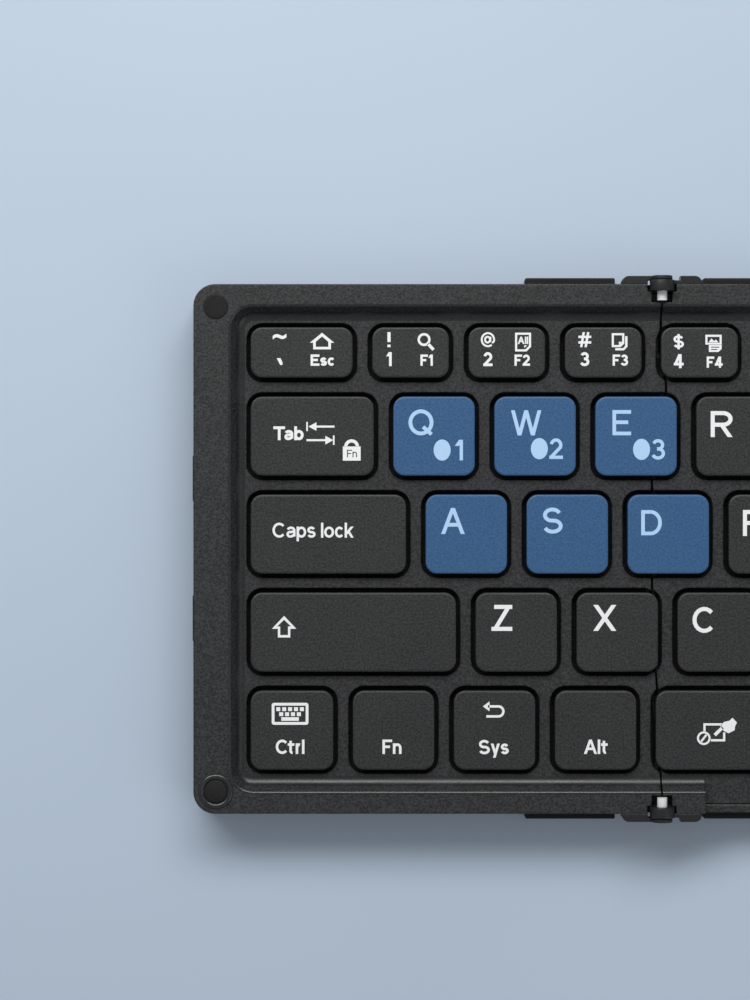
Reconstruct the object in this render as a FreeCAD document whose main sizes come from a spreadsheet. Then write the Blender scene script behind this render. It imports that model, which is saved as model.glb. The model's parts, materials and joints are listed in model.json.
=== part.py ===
"""Folding keyboard in three leaves: two narrow side leaves fold up and over a wide centre leaf.

+X runs to the right along the keyboard, +Y to its rear edge and +Z up.
The origin is on the table, under the middle of the open keyboard.
"""
import FreeCAD, Part
import os
import Sketcher

# Driving sizes in millimetres
SIZES = {
    # wells of the keys, seen from above
    "letter_width": 15.3,
    "number_width": 14.5,
    "tab_width": 22.4,
    "space_width": 84.0,
    "key_depth": 14.9,
    "number_depth": 10.0,
    "key_gap": 1.9,
    "row_gap": 1.8,
    # margins of deck and rim around the wells
    "side_margin": 9.0,
    "rear_margin": 6.6,
    "front_margin": 6.7,
    "fold_margin": 2.0,
    # where the rows cross the left fold
    "four_overhang": 0.8,
    "r_inset": 5.2,
    "d_overhang": 6.5,
    "c_inset": 2.0,
    "space_overhang": 1.7,
    # caps and what carries them
    "ring_gap": 0.68,
    "cap_height": 2.4,
    "cap_corner": 2.0,
    "cap_recess": 0.5,
    "key_travel": 1.4,
    "press_clear": 0.2,
    "dome_width": 3.2,
    "dome_clear": 0.05,
    "sheet_thickness": 0.4,
    "board_thickness": 1.0,
    # shells
    "floor_thickness": 2.5,
    "cover_height": 3.0,
    "cover_chamfer": 0.8,
    "wall": 1.4,
    "seam_wall": 0.8,
    "deck_thickness": 1.2,
    "tray_depth": 2.0,
    "tray_cut": 2.3,
    "tray_corner": 2.0,
    "rim_side": 6.2,
    "rim_end": 3.65,
    "slope_width": 1.6,
    "corner_radius": 3.7,
    "front_step": 7.4,
    "fit_clear": 0.1,
    # folds
    "fold_gap": 0.3,
    "fold_clear": 1.8,
    "axis_lift": 0.3,
    "seam_forward": 0.9,
    "seam_back": 1.5,
    "sweep_clear": 0.35,
    # hinges
    "pin_radius": 0.85,
    "pin_length": 4.2,
    "pin_clear": 0.05,
    "knuckle_radius": 2.1,
    "knuckle_inset": 1.2,
    "outer_knuckle_radius": 1.75,
    "notch_width": 2.45,
    "notch_depth": 3.1,
    "window_width": 1.75,
    "arm_thickness": 0.65,
    "arm_gap": 0.1,
    "arm_reach": 6.8,
    "boss_length": 3.6,
    "side_boss_length": 4.4,
    "boss_corner": 1.2,
    "arm_height": 3.2,
    "arm_drop": 0.3,
    # feet and bumpers
    "foot_height": 0.8,
    "foot_start": 7.6,
    "foot_length": 15.4,
    "foot_reach": 1.4,
    "foot_under": 7.0,
    "foot_lip": 3.2,
    "side_foot_start": 8.0,
    "side_foot_length": 8.0,
    "side_foot_reach": 0.45,
    "bumper_radius": 2.1,
    "bumper_height": 0.45,
    "bumper_inset": 3.8,
    # touchpad, battery and charging socket
    "touchpad_side_margin": 6.0,
    "touchpad_end_margin": 9.8,
    "touchpad_corner": 4.0,
    "touchpad_gap": 0.35,
    "battery_width": 34.0,
    "battery_depth": 50.0,
    "battery_height": 3.0,
    "socket_width": 8.9,
    "socket_height": 3.2,
    "socket_length": 7.0,
    "socket_wall": 0.35,
    "socket_corner": 1.2,
    "socket_place": 26.0,
    "tongue_thickness": 0.7,
    "tongue_width": 6.4,
    # how far a cut runs past what it cuts
    "overrun": 1.0,
}

doc = FreeCAD.newDocument("folding_keyboard")
sheet = doc.addObject("Spreadsheet::Sheet", "Sizes")
for row, (alias, number) in enumerate(SIZES.items(), start=1):
    sheet.set(f"A{row}", alias)
    sheet.set(f"B{row}", str(number))
    sheet.setAlias(f"B{row}", alias)
doc.recompute()

# Lengths worked out from the driving sizes, as expressions that the features are bound to
side_width = (
    "(Sizes.side_margin + Sizes.tab_width + 3 * Sizes.letter_width"
    " + 4 * Sizes.key_gap - Sizes.r_inset)"
)
axis_x = f"({side_width} + Sizes.fold_clear / 2)"
leaf_depth = (
    "(Sizes.rear_margin + Sizes.number_depth + 4 * Sizes.key_depth"
    " + 4 * Sizes.row_gap + Sizes.front_margin)"
)
rear = f"({leaf_depth} / 2)"
floor_top = "(Sizes.foot_height + Sizes.floor_thickness)"
board_top = f"({floor_top} + Sizes.board_thickness)"
sheet_top = f"({board_top} + Sizes.sheet_thickness)"
cap_bottom = f"({sheet_top} + Sizes.press_clear + Sizes.key_travel)"
rim_top = f"({cap_bottom} + Sizes.cap_height + Sizes.cap_recess)"
deck_top = f"({rim_top} - Sizes.tray_depth)"
deck_bottom = f"({deck_top} - Sizes.deck_thickness)"
cover_top = "(Sizes.foot_height + Sizes.cover_height)"
axis_z = f"({rim_top} + Sizes.axis_lift)"


def value(expression):
    """The number that an expression gives with the sizes as they are."""
    result = sheet.evalExpression(expression)
    return float(getattr(result, "Value", result))


# Keys. A row is placed by its first key on the centre leaf, whose well starts that far from the fold.
# Its first key fills the row to the left margin, and its last one to the right margin.
class Key:
    def __init__(self, name, left, right, row, leaf):
        self.name = name
        self.left = left
        self.right = right
        self.front, self.rear = row_edges(row)
        self.leaf = leaf

    def middle(self):
        return f"(({self.left} + {self.right}) / 2)", f"(({self.front} + {self.rear}) / 2)"

    def half_sizes(self, inset):
        across = f"(({self.right} - {self.left}) / 2 - {inset})"
        along = f"(({self.rear} - {self.front}) / 2 - {inset})"
        return across, along

    def put(self, body, height):
        """Place a body that is drawn around the origin at the key's middle."""
        x, y = self.middle()
        body.setExpression("Placement.Base.x", x)
        body.setExpression("Placement.Base.y", y)
        body.setExpression("Placement.Base.z", height)

    def well(self):
        return rectangle(self.left, self.right, self.front, self.rear)


def row_edges(row):
    """Front and rear edges of the wells of a row, counted from the rear."""
    if row == 0:
        back = f"({rear} - Sizes.rear_margin)"
        return f"({back} - Sizes.number_depth)", back
    step = f"{row - 1} * (Sizes.key_depth + Sizes.row_gap)"
    back = f"({rear} - Sizes.rear_margin - Sizes.number_depth - Sizes.row_gap - {step})"
    return f"({back} - Sizes.key_depth)", back


def row_middle(row):
    return "(({} + {}) / 2)".format(*row_edges(row))


def rectangle(left, right, front, back):
    return [(left, front), (right, front), (right, back), (left, back)]


def rounded(across, along, radius):
    """A rectangle around the origin from its half sizes, each corner turned in two steps along an arc."""
    turn = f"{radius} * (1 - sqrt(0.5))"
    corner = [
        (across, f"({along} - {radius})"),
        (f"({across} - {turn})", f"({along} - {turn})"),
        (f"({across} - {radius})", along),
    ]
    top = corner + [(f"-{x}", y) for x, y in reversed(corner)]
    return top + [(f"-{x}", f"-{y}") for x, y in corner] + [(x, f"-{y}") for x, y in reversed(corner)]


ROWS = [
    (["escape", "one", "two", "three"],
     ["four", "five", "six", "seven", "eight", "nine", "zero", "minus", "backspace"],
     "-Sizes.four_overhang", "Sizes.number_width"),
    (["tab", "q", "w", "e"],
     ["r", "t", "y", "u", "i", "o", "p", "bracket", "backslash"],
     "Sizes.r_inset", "Sizes.letter_width"),
    (["caps", "a", "s"],
     ["d", "f", "g", "h", "j", "k", "l", "semicolon", "enter"],
     "-Sizes.d_overhang", "Sizes.letter_width"),
    (["left_shift", "z", "x"],
     ["c", "v", "b", "n", "m", "comma", "period", "slash", "right_shift"],
     "Sizes.c_inset", "Sizes.letter_width"),
    (["control", "function", "system", "alternate"],
     ["space", "right_alternate", "arrow_left", "arrow_down", "arrow_right"],
     "-Sizes.space_overhang", "Sizes.letter_width"),
]
ROW_NODES = ["number_row_keys", "upper_row_keys", "home_row_keys", "lower_row_keys", "bottom_row_keys"]
KEYS_SEEN_ON_CENTRE = ["four", "r", "d", "f", "c", "space"]


def make_row(row, left_names, centre_names, start, width):
    """The keys of one row, from the left margin to the right fold."""
    pitch = f"({width} + Sizes.key_gap)"
    begin = f"(-{axis_x} + {start})"
    field_left = f"(-{axis_x} - {side_width} + Sizes.side_margin)"
    field_right = f"({axis_x} - Sizes.fold_margin)"
    keys = []
    for place, name in enumerate(left_names):
        steps = len(left_names) - place
        left = f"({begin} - {steps} * {pitch})" if place else field_left
        right = f"({begin} - {steps - 1} * {pitch} - Sizes.key_gap)"
        keys.append(Key(name, left, right, row, "left"))
    extra = f"(Sizes.space_width - {width})" if centre_names[0] == "space" else "0"
    for place, name in enumerate(centre_names):
        shift = extra if place else "0"
        left = f"({begin} + {place} * {pitch} + {shift})"
        right = f"({left} + {width})" if place else f"({begin} + {width} + {extra})"
        if name == centre_names[-1]:
            right = field_right
        keys.append(Key(name, left, right, row, "centre"))
    return keys


key_rows = [make_row(number, *row) for number, row in enumerate(ROWS)]
key_named = {key.name: key for row in key_rows for key in row}
# Keys whose wells lie across the left fold
SEAM_KEYS = ["four", "e", "d", "x", "space"]


# Sketches and features
def origin_plane(body, role):
    return next(item for item in body.Origin.OriginFeatures if item.Role == role)


def make_body(label):
    body = doc.addObject("PartDesign::Body", label)
    body.Label = label
    return body


def make_sketch(body, name, height, outlines, plane="XY_Plane"):
    """A sketch of closed outlines, whose corners are all bound to expressions."""
    sketch = body.newObject("Sketcher::SketchObject", name)
    sketch.AttachmentSupport = [(origin_plane(body, plane), "")]
    sketch.MapMode = "FlatFace"
    sketch.setExpression("AttachmentOffset.Base.z", height)
    for outline in outlines:
        add_outline(sketch, outline)
    sketch.recompute()
    return sketch


def add_outline(sketch, outline):
    corners = [FreeCAD.Vector(value(x), value(y), 0) for x, y in outline]
    count = len(corners)
    first = sketch.GeometryCount
    lines = [Part.LineSegment(corners[n], corners[(n + 1) % count]) for n in range(count)]
    sketch.addGeometry(lines, False)
    limits = []
    for n, corner in enumerate(corners):
        limits.append(Sketcher.Constraint("Coincident", first + n, 2, first + (n + 1) % count, 1))
        limits.append(Sketcher.Constraint("DistanceX", -1, 1, first + n, 1, corner.x))
        limits.append(Sketcher.Constraint("DistanceY", -1, 1, first + n, 1, corner.y))
    places = sketch.addConstraint(limits)
    for n, (x, y) in enumerate(outline):
        sketch.setExpression(f"Constraints[{places[3 * n + 1]}]", x)
        sketch.setExpression(f"Constraints[{places[3 * n + 2]}]", y)


def add_feature(body, kind, name, sketch, length, taper=None):
    feature = body.newObject(f"PartDesign::{kind}", name)
    feature.Profile = sketch
    feature.setExpression("Length", length)
    if taper:
        feature.setExpression("TaperAngle", taper)
    feature.recompute()
    return feature


def pad(body, name, height, outlines, length, taper=None, plane="XY_Plane"):
    sketch = make_sketch(body, f"{name}_sketch", height, outlines, plane)
    return add_feature(body, "Pad", name, sketch, length, taper)


def pocket(body, name, height, outlines, length, taper=None, plane="XY_Plane"):
    """A pocket that goes down from its sketch, and has to take something away."""
    volume = body.Tip.Shape.Volume
    sketch = make_sketch(body, f"{name}_sketch", height, outlines, plane)
    feature = add_feature(body, "Pocket", name, sketch, length, taper)
    if not feature.Shape.Volume < volume:
        raise RuntimeError(f"{body.Label}: {name} cuts nothing")
    return feature


def dress(body, kind, name, edges, size_name, size):
    """A fillet or chamfer on edges of the body's last feature."""
    base = body.Tip
    feature = body.newObject(f"PartDesign::{kind}", name)
    feature.Base = (base, edges)
    feature.setExpression(size_name, size)
    feature.recompute()
    return feature


def upright_edges(body, places=None):
    """Edges that rise from level, all of them or those over the given places."""
    points = [(value(x), value(y)) for x, y in places] if places else None
    reach = 2 * SIZES["fit_clear"]
    found = []
    for number, edge in enumerate(body.Tip.Shape.Edges, start=1):
        ends = [vertex.Point for vertex in edge.Vertexes]
        if len(ends) < 2 or abs(ends[0].z - ends[1].z) < reach:
            continue
        lower = min(ends, key=lambda point: point.z)
        if points and not any(abs(lower.x - x) + abs(lower.y - y) < reach for x, y in points):
            continue
        found.append(f"Edge{number}")
    return found


def low_edges(body, height):
    """Level edges at a height."""
    level = value(height)
    found = []
    for number, edge in enumerate(body.Tip.Shape.Edges, start=1):
        if all(abs(vertex.Z - level) < SIZES["dome_clear"] for vertex in edge.Vertexes):
            found.append(f"Edge{number}")
    return found


# Outlines of the leaves. Distances from a fold count outwards on a side leaf.
def left_seam(side, inset):
    """The stepped seam of the left fold, from rear to front.

    side is -1 on the left leaf and 1 on the centre leaf, and inset is measured from the seam's middle.
    """
    shift = f"(-{axis_x} + {side} * ({inset}))"
    step = f"{side} * ({inset})"
    forward = f"({shift} + Sizes.seam_forward)"
    back = f"({shift} - Sizes.seam_back)"
    return [
        (shift, f"({row_middle(0)} + {step})"),
        (forward, f"({row_middle(0)} + {step})"),
        (forward, f"({row_middle(1)} - {step})"),
        (back, f"({row_middle(1)} - {step})"),
        (back, row_middle(3)),
        (shift, row_middle(4)),
    ]


def leaf_outline(leaf, inset, seam_inset):
    """A leaf seen from above, drawn in by inset at its edges and by seam_inset at its folds."""
    back = f"({rear} - {inset})"
    front = f"(-{rear} + {inset})"
    outer = f"({axis_x} + {side_width} - {inset})"
    if leaf == "left":
        seam = left_seam(-1, seam_inset)
        return [(f"-{outer}", back), (seam[0][0], back), *seam, (seam[-1][0], front), (f"-{outer}", front)]
    if leaf == "right":
        return rectangle(f"({axis_x} + {seam_inset})", outer, front, back)
    seam = left_seam(1, seam_inset)
    right = f"({axis_x} - {seam_inset})"
    return [(right, back), (seam[0][0], back), *seam, (seam[-1][0], front), (right, front)]


def outer_corners(leaf):
    """The corners of a side leaf away from its fold."""
    sign = "-" if leaf == "left" else ""
    x = f"{sign}({axis_x} + {side_width})"
    return [(x, rear), (x, f"-{rear}")]


def tray_outline(leaf):
    """The upper edge of the tray, which runs out over the folds."""
    side = f"({axis_x} + {side_width} - Sizes.rim_side)"
    past = f"({axis_x} - Sizes.d_overhang - Sizes.overrun)"
    beyond = f"({axis_x} + {side_width} + Sizes.overrun)"
    back = f"({rear} - Sizes.rim_end)"
    if leaf == "centre":
        return rectangle(f"-{beyond}", beyond, f"-{back}", back)
    sign = "-" if leaf == "left" else ""
    cut_back = f"({back} - Sizes.tray_cut)"
    cut_side = f"{sign}({side} - Sizes.tray_cut)"
    fold, side = f"{sign}{past}", f"{sign}{side}"
    return [
        (fold, f"-{back}"), (cut_side, f"-{back}"), (side, f"-{cut_back}"),
        (side, cut_back), (cut_side, back), (fold, back),
    ]


def tray_corners(leaf):
    """The ends of the cut corners of a side leaf's tray, on the tray's floor."""
    sign = "-" if leaf == "left" else ""
    inwards = "(Sizes.tray_cut + Sizes.slope_width * tan(22.5 deg))"
    side = f"({axis_x} + {side_width} - Sizes.rim_side)"
    back = f"({rear} - Sizes.rim_end)"
    along_side = (f"{sign}({side} - Sizes.slope_width)", f"({back} - {inwards})")
    along_end = (f"{sign}({side} - {inwards})", f"({back} - Sizes.slope_width)")
    return [(x, f"{end}{y}") for x, y in (along_side, along_end) for end in ("", "-")]


def open_at_folds(leaf, inset):
    """The outline of a leaf inside its walls, which runs out past the folds."""
    back = f"({rear} - {inset})"
    outer = f"({axis_x} + {side_width} - {inset})"
    past = f"({axis_x} - Sizes.d_overhang - Sizes.overrun)"
    beyond = f"({axis_x} + {side_width})"
    edges = {"left": (f"-{outer}", f"-{past}"), "right": (past, outer), "centre": (f"-{beyond}", beyond)}
    return rectangle(*edges[leaf], f"-{back}", back)


half_gap = "Sizes.fold_gap / 2"
inside_seam = f"({half_gap} + Sizes.seam_wall)"
clear_of_seam = f"({inside_seam} + Sizes.fit_clear)"
clear_of_wall = "(Sizes.wall + Sizes.fit_clear)"
cap_depth = f"({axis_z} - {cap_bottom})"
nodes = {}


def sweep_floor(reach):
    """The height that clears a cap as it swings under the fold, reaching that far past the axis."""
    return f"({axis_z} - sqrt(({reach}) ^ 2 + {cap_depth} ^ 2) - Sizes.sweep_clear)"


# Caps that reach over the left fold swing through the leaf beside them, which is cut away for them.
# Each is a key, the leaf that gives way and how far the cap reaches past the axis.
e_reach = f"({key_named['e'].right} - Sizes.ring_gap + {axis_x})"
SWEEPS = [
    (key_named["e"], "centre", e_reach),
    (key_named["d"], "left", "(Sizes.d_overhang - Sizes.ring_gap)"),
    (key_named["space"], "left", "(Sizes.space_overhang - Sizes.ring_gap)"),
]


def sweep_outline(key, leaf):
    """The place of a swinging cap on the leaf that gives way to it."""
    middle = key.middle()[0]
    if leaf == "left":
        return rectangle(f"({key.left} - Sizes.sweep_clear)", middle, key.front, key.rear)
    return rectangle(middle, f"({key.right} + Sizes.sweep_clear)", key.front, key.rear)


def cut_sweeps(body, leaf, top, bottom):
    """Cut a piece between two heights wherever a cap swings through it."""
    for key, giving, reach in SWEEPS:
        floor = sweep_floor(reach)
        if giving != leaf or value(floor) >= value(top):
            continue
        low = floor if value(floor) > value(bottom) else f"({bottom} - Sizes.overrun)"
        pocket(body, f"sweep_of_{key.name}", top, [sweep_outline(key, leaf)], f"{top} - {low}")


def notch_outlines(leaf):
    """Places of the hinge knuckles on a leaf, each with a narrower window over the pin."""
    outlines = []
    for fold in (-1, 1):
        if (fold, leaf) in ((-1, "right"), (1, "left")):
            continue
        for end in (-1, 1):
            outlines.append([notch_corner(fold, end, *corner) for corner in NOTCH])
    return outlines


notch_edge = "-Sizes.overrun"
notch_step = "(Sizes.knuckle_inset + Sizes.fit_clear)"
# Half of a notch's corners as distances from the fold and inwards from the edge, then the other half
HALF_NOTCH = [
    ("Sizes.notch_width", notch_edge),
    ("Sizes.notch_width", notch_step),
    ("Sizes.window_width", notch_step),
    ("Sizes.window_width", "Sizes.notch_depth"),
]
NOTCH = HALF_NOTCH + [(f"-{across}", inwards) for across, inwards in reversed(HALF_NOTCH)]


def notch_corner(fold, end, across, inwards):
    return f"({fold} * {axis_x} + {across})", f"({end} * ({rear} - ({inwards})))"


# The charging socket hangs under the board of the right leaf
socket_middle = f"({deck_bottom} - Sizes.board_thickness - Sizes.socket_height / 2)"


def cut_socket_port(body):
    """The opening of the charging socket in the right edge of the right leaf."""
    across = "(Sizes.socket_width / 2 + Sizes.fit_clear)"
    up = "(Sizes.socket_height / 2 + Sizes.fit_clear)"
    port = rectangle(
        f"(Sizes.socket_place - {across})", f"(Sizes.socket_place + {across})",
        f"({socket_middle} - {up})", f"({socket_middle} + {up})",
    )
    outside = f"({axis_x} + {side_width} + Sizes.overrun)"
    length = "(Sizes.socket_length + 2 * Sizes.overrun)"
    pocket(body, "socket_port", outside, [port], length, plane="YZ_Plane")


def make_frame(leaf):
    """Rim and side walls of a leaf, open below, with a sloping tray for the deck."""
    body = make_body(f"{leaf}_frame")
    height = f"({rim_top} - {cover_top})"
    pad(body, "block", cover_top, [leaf_outline(leaf, "0", half_gap)], height)
    if leaf != "centre":
        edges = upright_edges(body, outer_corners(leaf))
        dress(body, "Fillet", "corners", edges, "Radius", "Sizes.corner_radius")
    slope = "-atan(Sizes.slope_width / Sizes.tray_depth)"
    pocket(body, "tray", rim_top, [tray_outline(leaf)], "Sizes.tray_depth", taper=slope)
    if leaf != "centre":
        edges = upright_edges(body, tray_corners(leaf))
        dress(body, "Fillet", "tray_corners", edges, "Radius", "Sizes.tray_corner")
    pocket(body, "deck_seat", deck_top, [open_at_folds(leaf, "Sizes.wall")], "Sizes.deck_thickness")
    cavity = leaf_outline(leaf, "Sizes.wall", inside_seam)
    pocket(body, "cavity", deck_bottom, [cavity], f"({deck_bottom} - {cover_top} + Sizes.overrun)")
    if leaf == "centre":
        side = f"({axis_x} - Sizes.front_step)"
        step = rectangle(f"-{side}", side, f"(-{rear} - Sizes.overrun)", f"(-{rear} + Sizes.front_margin)")
        pocket(body, "front_step", rim_top, [step], "Sizes.tray_depth")
    notch_floor = f"({rim_top} - {axis_z} + Sizes.notch_width)"
    pocket(body, "notches", rim_top, notch_outlines(leaf), notch_floor)
    if leaf == "right":
        cut_socket_port(body)
    else:
        travel = f"({deck_bottom} - {sheet_top})"
        for name in SEAM_KEYS:
            pocket(body, f"press_of_{name}", deck_bottom, [key_named[name].well()], travel)
        cut_sweeps(body, leaf, sheet_top, cover_top)
    nodes[body.Label] = body


def make_well(key):
    """The room of a cap in the deck, as a solid to cut with."""
    body = make_body(f"{key.name}_well")
    outline = rounded(*key.half_sizes("0"), "(Sizes.cap_corner + Sizes.ring_gap)")
    pad(body, "room", "0", [outline], "(Sizes.deck_thickness + 2 * Sizes.overrun)")
    key.put(body, f"({deck_bottom} - Sizes.overrun)")
    return body


def make_plate(label, leaf):
    body = make_body(label)
    pad(body, "plate", deck_bottom, [leaf_outline(leaf, clear_of_wall, half_gap)], "Sizes.deck_thickness")
    return body


def make_key_decks():
    """The plates around the keys. Caps that reach over the left fold have a well in both."""
    wells = {key.name: make_well(key) for row in key_rows for key in row}
    for leaf in ("left", "centre"):
        own = [key.name for row in key_rows for key in row if key.leaf == leaf]
        names = own + [name for name in SEAM_KEYS if name not in own]
        rooms = doc.addObject("Part::Compound", f"{leaf}_wells")
        rooms.Links = [wells[name] for name in names]
        deck = doc.addObject("Part::Cut", f"{leaf}_deck")
        deck.Label = f"{leaf}_deck"
        deck.Base = make_plate(f"{leaf}_plate", leaf)
        deck.Tool = rooms
        nodes[deck.Label] = deck


def make_touchpad_deck():
    """The plate around the touchpad."""
    body = make_plate("right_deck", "right")
    pocket(body, "opening", deck_top, [touchpad_outline("Sizes.touchpad_gap")],
           "(Sizes.deck_thickness + Sizes.overrun)")
    edges = upright_edges(body, touchpad_outline("Sizes.touchpad_gap"))
    dress(body, "Fillet", "corners", edges, "Radius", "(Sizes.touchpad_corner + Sizes.touchpad_gap)")
    nodes[body.Label] = body


def make_cover(leaf):
    """The tray under a leaf that carries its board."""
    body = make_body(f"{leaf}_bottom_cover")
    pad(body, "block", "Sizes.foot_height", [leaf_outline(leaf, "0", half_gap)], "Sizes.cover_height")
    if leaf != "centre":
        edges = upright_edges(body, outer_corners(leaf))
        dress(body, "Fillet", "corners", edges, "Radius", "Sizes.corner_radius")
    edges = [name for name in low_edges(body, "Sizes.foot_height") if not at_a_fold(body, name)]
    dress(body, "Chamfer", "lower_edges", edges, "Size", "Sizes.cover_chamfer")
    cavity = leaf_outline(leaf, "Sizes.wall", inside_seam)
    pocket(body, "cavity", cover_top, [cavity], f"({cover_top} - {floor_top})")
    cut_sweeps(body, leaf, cover_top, "Sizes.foot_height")
    if leaf == "right":
        bed = battery_outline("Sizes.fit_clear")
        bed_floor = f"({deck_bottom} - Sizes.board_thickness - Sizes.battery_height)"
        pocket(body, "battery_bed", floor_top, [bed], f"({floor_top} - {bed_floor})")
        cut_socket_port(body)
    nodes[body.Label] = body


def at_a_fold(body, edge_name):
    """Whether an edge lies along a fold, where the leaves meet with square edges."""
    fold = value(axis_x)
    reach = value("Sizes.seam_back + Sizes.fold_gap")
    edge = body.Tip.Shape.getElement(edge_name)
    near = [abs(abs(vertex.X) - fold) <= reach for vertex in edge.Vertexes]
    return all(near) and edge.BoundBox.XLength <= 2 * reach


def make_board(leaf):
    """The circuit board on the floor of a leaf, or under the touchpad."""
    body = make_body(f"{leaf}_circuit_board")
    bottom = f"({deck_bottom} - Sizes.board_thickness)" if leaf == "right" else floor_top
    top = deck_bottom if leaf == "right" else board_top
    pad(body, "plate", bottom, [leaf_outline(leaf, clear_of_wall, clear_of_seam)], "Sizes.board_thickness")
    cut_sweeps(body, leaf, top, bottom)
    nodes[body.Label] = body


def make_dome_sheet(leaf):
    """The rubber sheet that returns the caps, with a raised dome under each."""
    body = make_body(f"{leaf}_dome_sheet")
    pad(body, "sheet", board_top, [leaf_outline(leaf, clear_of_wall, clear_of_seam)], "Sizes.sheet_thickness")
    cut_sweeps(body, leaf, sheet_top, board_top)
    height = f"({cap_bottom} - {sheet_top} - Sizes.dome_clear)"
    for number, row in enumerate(key_rows, start=1):
        domes = [dome_outline(key) for key in row if key.leaf == leaf]
        pad(body, f"domes_{number}", sheet_top, domes, height)
    nodes[body.Label] = body


def dome_outline(key):
    x, y = key.middle()
    half = "Sizes.dome_width / 2"
    return rectangle(f"({x} - {half})", f"({x} + {half})", f"({y} - {half})", f"({y} + {half})")


def make_cap(key):
    body = make_body(f"{key.name}_key")
    outline = rounded(*key.half_sizes("Sizes.ring_gap"), "Sizes.cap_corner")
    pad(body, "cap", "0", [outline], "Sizes.cap_height")
    key.put(body, cap_bottom)
    return body


def group(label, members):
    """Several solids that share one node."""
    compound = doc.addObject("Part::Compound", label)
    compound.Label = label
    compound.Links = members
    nodes[label] = compound


def make_keys():
    for row, (left_names, centre_names, start, width) in enumerate(ROWS):
        together = []
        for name in left_names + centre_names:
            cap = make_cap(key_named[name])
            if name in left_names + KEYS_SEEN_ON_CENTRE:
                nodes[cap.Label] = cap
            else:
                together.append(cap)
        group(ROW_NODES[row], together)


# Hinges, one at each end of each fold
def make_arm(label, fold, end, side, layer, knuckle):
    """An arm on the edge of a leaf, with a boss against the leaf and a knuckle on the pin.

    fold and side are -1 or 1: which fold, and which way the arm runs from it.  end is 1 at the rear.
    layer gives the near and far faces of the arm, counted from the leaf's edge, and the boss's length.
    knuckle gives its radius, its near face and the radius of its bore.
    """
    near, far, boss_length = layer
    radius, start, bore = knuckle
    body = make_body(label)
    x = f"({fold} * {axis_x})"
    tip = f"({x} + {side} * Sizes.arm_reach)"
    shoulder = f"({x} + {side} * (Sizes.arm_reach - {boss_length}))"
    outside = f"({end} * ({rear} + {hinge_proud}))"
    edge = f"({end} * {rear})"
    outline = [
        (tip, edge),
        (tip, outside),
        (shoulder, outside),
        (shoulder, f"({end} * ({rear} + {far}))"),
        (x, f"({end} * ({rear} + {far}))"),
        (x, f"({end} * ({rear} + {near}))"),
        (shoulder, f"({end} * ({rear} + {near}))"),
        (shoulder, edge),
    ]
    outline = [point for n, point in enumerate(outline) if not same_place(point, outline[n - 1])]
    bottom = f"({axis_z} - Sizes.arm_drop - Sizes.arm_height)"
    pad(body, "arm", bottom, [outline], "Sizes.arm_height")
    dress(body, "Fillet", "boss", upright_edges(body, [(tip, outside)]), "Radius", "Sizes.boss_corner")
    add_disc(body, "knuckle", "Pad", x, radius, f"({end} * ({rear} + {start}))", f"({far} - ({start}))", end)
    add_disc(body, "bore", "Pocket", x, bore, f"({end} * ({rear} + {far} + Sizes.overrun))",
             f"({far} - ({start}) + 2 * Sizes.overrun)", end)
    return body


def same_place(point, other):
    reach = SIZES["dome_clear"] / 2
    return abs(value(point[0]) - value(other[0])) + abs(value(point[1]) - value(other[1])) < reach


def add_disc(body, name, kind, x, radius, start, length, end):
    """A round pad or pocket along Y on a fold's axis. A pad goes outwards, a pocket inwards."""
    sketch = body.newObject("Sketcher::SketchObject", f"{name}_sketch")
    sketch.AttachmentSupport = [(origin_plane(body, "XZ_Plane"), "")]
    sketch.MapMode = "FlatFace"
    sketch.setExpression("AttachmentOffset.Base.z", f"-({start})")
    middle = FreeCAD.Vector(value(x), value(axis_z), 0)
    sketch.addGeometry(Part.Circle(middle, FreeCAD.Vector(0, 0, 1), value(radius)), False)
    places = sketch.addConstraint([
        Sketcher.Constraint("DistanceX", -1, 1, 0, 3, middle.x),
        Sketcher.Constraint("DistanceY", -1, 1, 0, 3, middle.y),
        Sketcher.Constraint("Radius", 0, value(radius)),
    ])
    for place, expression in zip(places, (x, axis_z, radius)):
        sketch.setExpression(f"Constraints[{place}]", expression)
    sketch.recompute()
    feature = add_feature(body, kind, name, sketch, length)
    feature.Reversed = end > 0
    feature.recompute()


hinge_proud = "(2 * Sizes.arm_thickness + Sizes.arm_gap)"
outer_layer = ("(Sizes.arm_thickness + Sizes.arm_gap)", hinge_proud, "Sizes.side_boss_length")
inner_layer = ("0", "Sizes.arm_thickness", "Sizes.boss_length")
outer_knuckle = ("Sizes.outer_knuckle_radius", outer_layer[0], "(Sizes.pin_radius + Sizes.pin_clear)")
inner_knuckle = ("Sizes.knuckle_radius", "-Sizes.knuckle_inset", "Sizes.pin_radius")


def make_hinges():
    """Arms on the three leaves, and the pins pressed into the arms of the centre leaf."""
    centre_arms = []
    pins = []
    for fold, leaf in ((-1, "left"), (1, "right")):
        side_arms = []
        for end, place in ((1, "rear"), (-1, "front")):
            side_arms.append(make_arm(f"{leaf}_{place}_arm", fold, end, fold, outer_layer, outer_knuckle))
            centre_arms.append(
                make_arm(f"centre_{leaf}_{place}_arm", fold, end, -fold, inner_layer, inner_knuckle))
            pin = make_body(f"{leaf}_{place}_pin")
            inner = f"({hinge_proud} - Sizes.pin_length)"
            add_disc(pin, "pin", "Pad", f"({fold} * {axis_x})", "Sizes.pin_radius",
                     f"({end} * ({rear} + {inner}))", "Sizes.pin_length", end)
            pins.append(pin)
        group(f"{leaf}_hinge_arms", side_arms)
    group("centre_hinge_arms", centre_arms)
    group("hinge_pins", pins)


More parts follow.
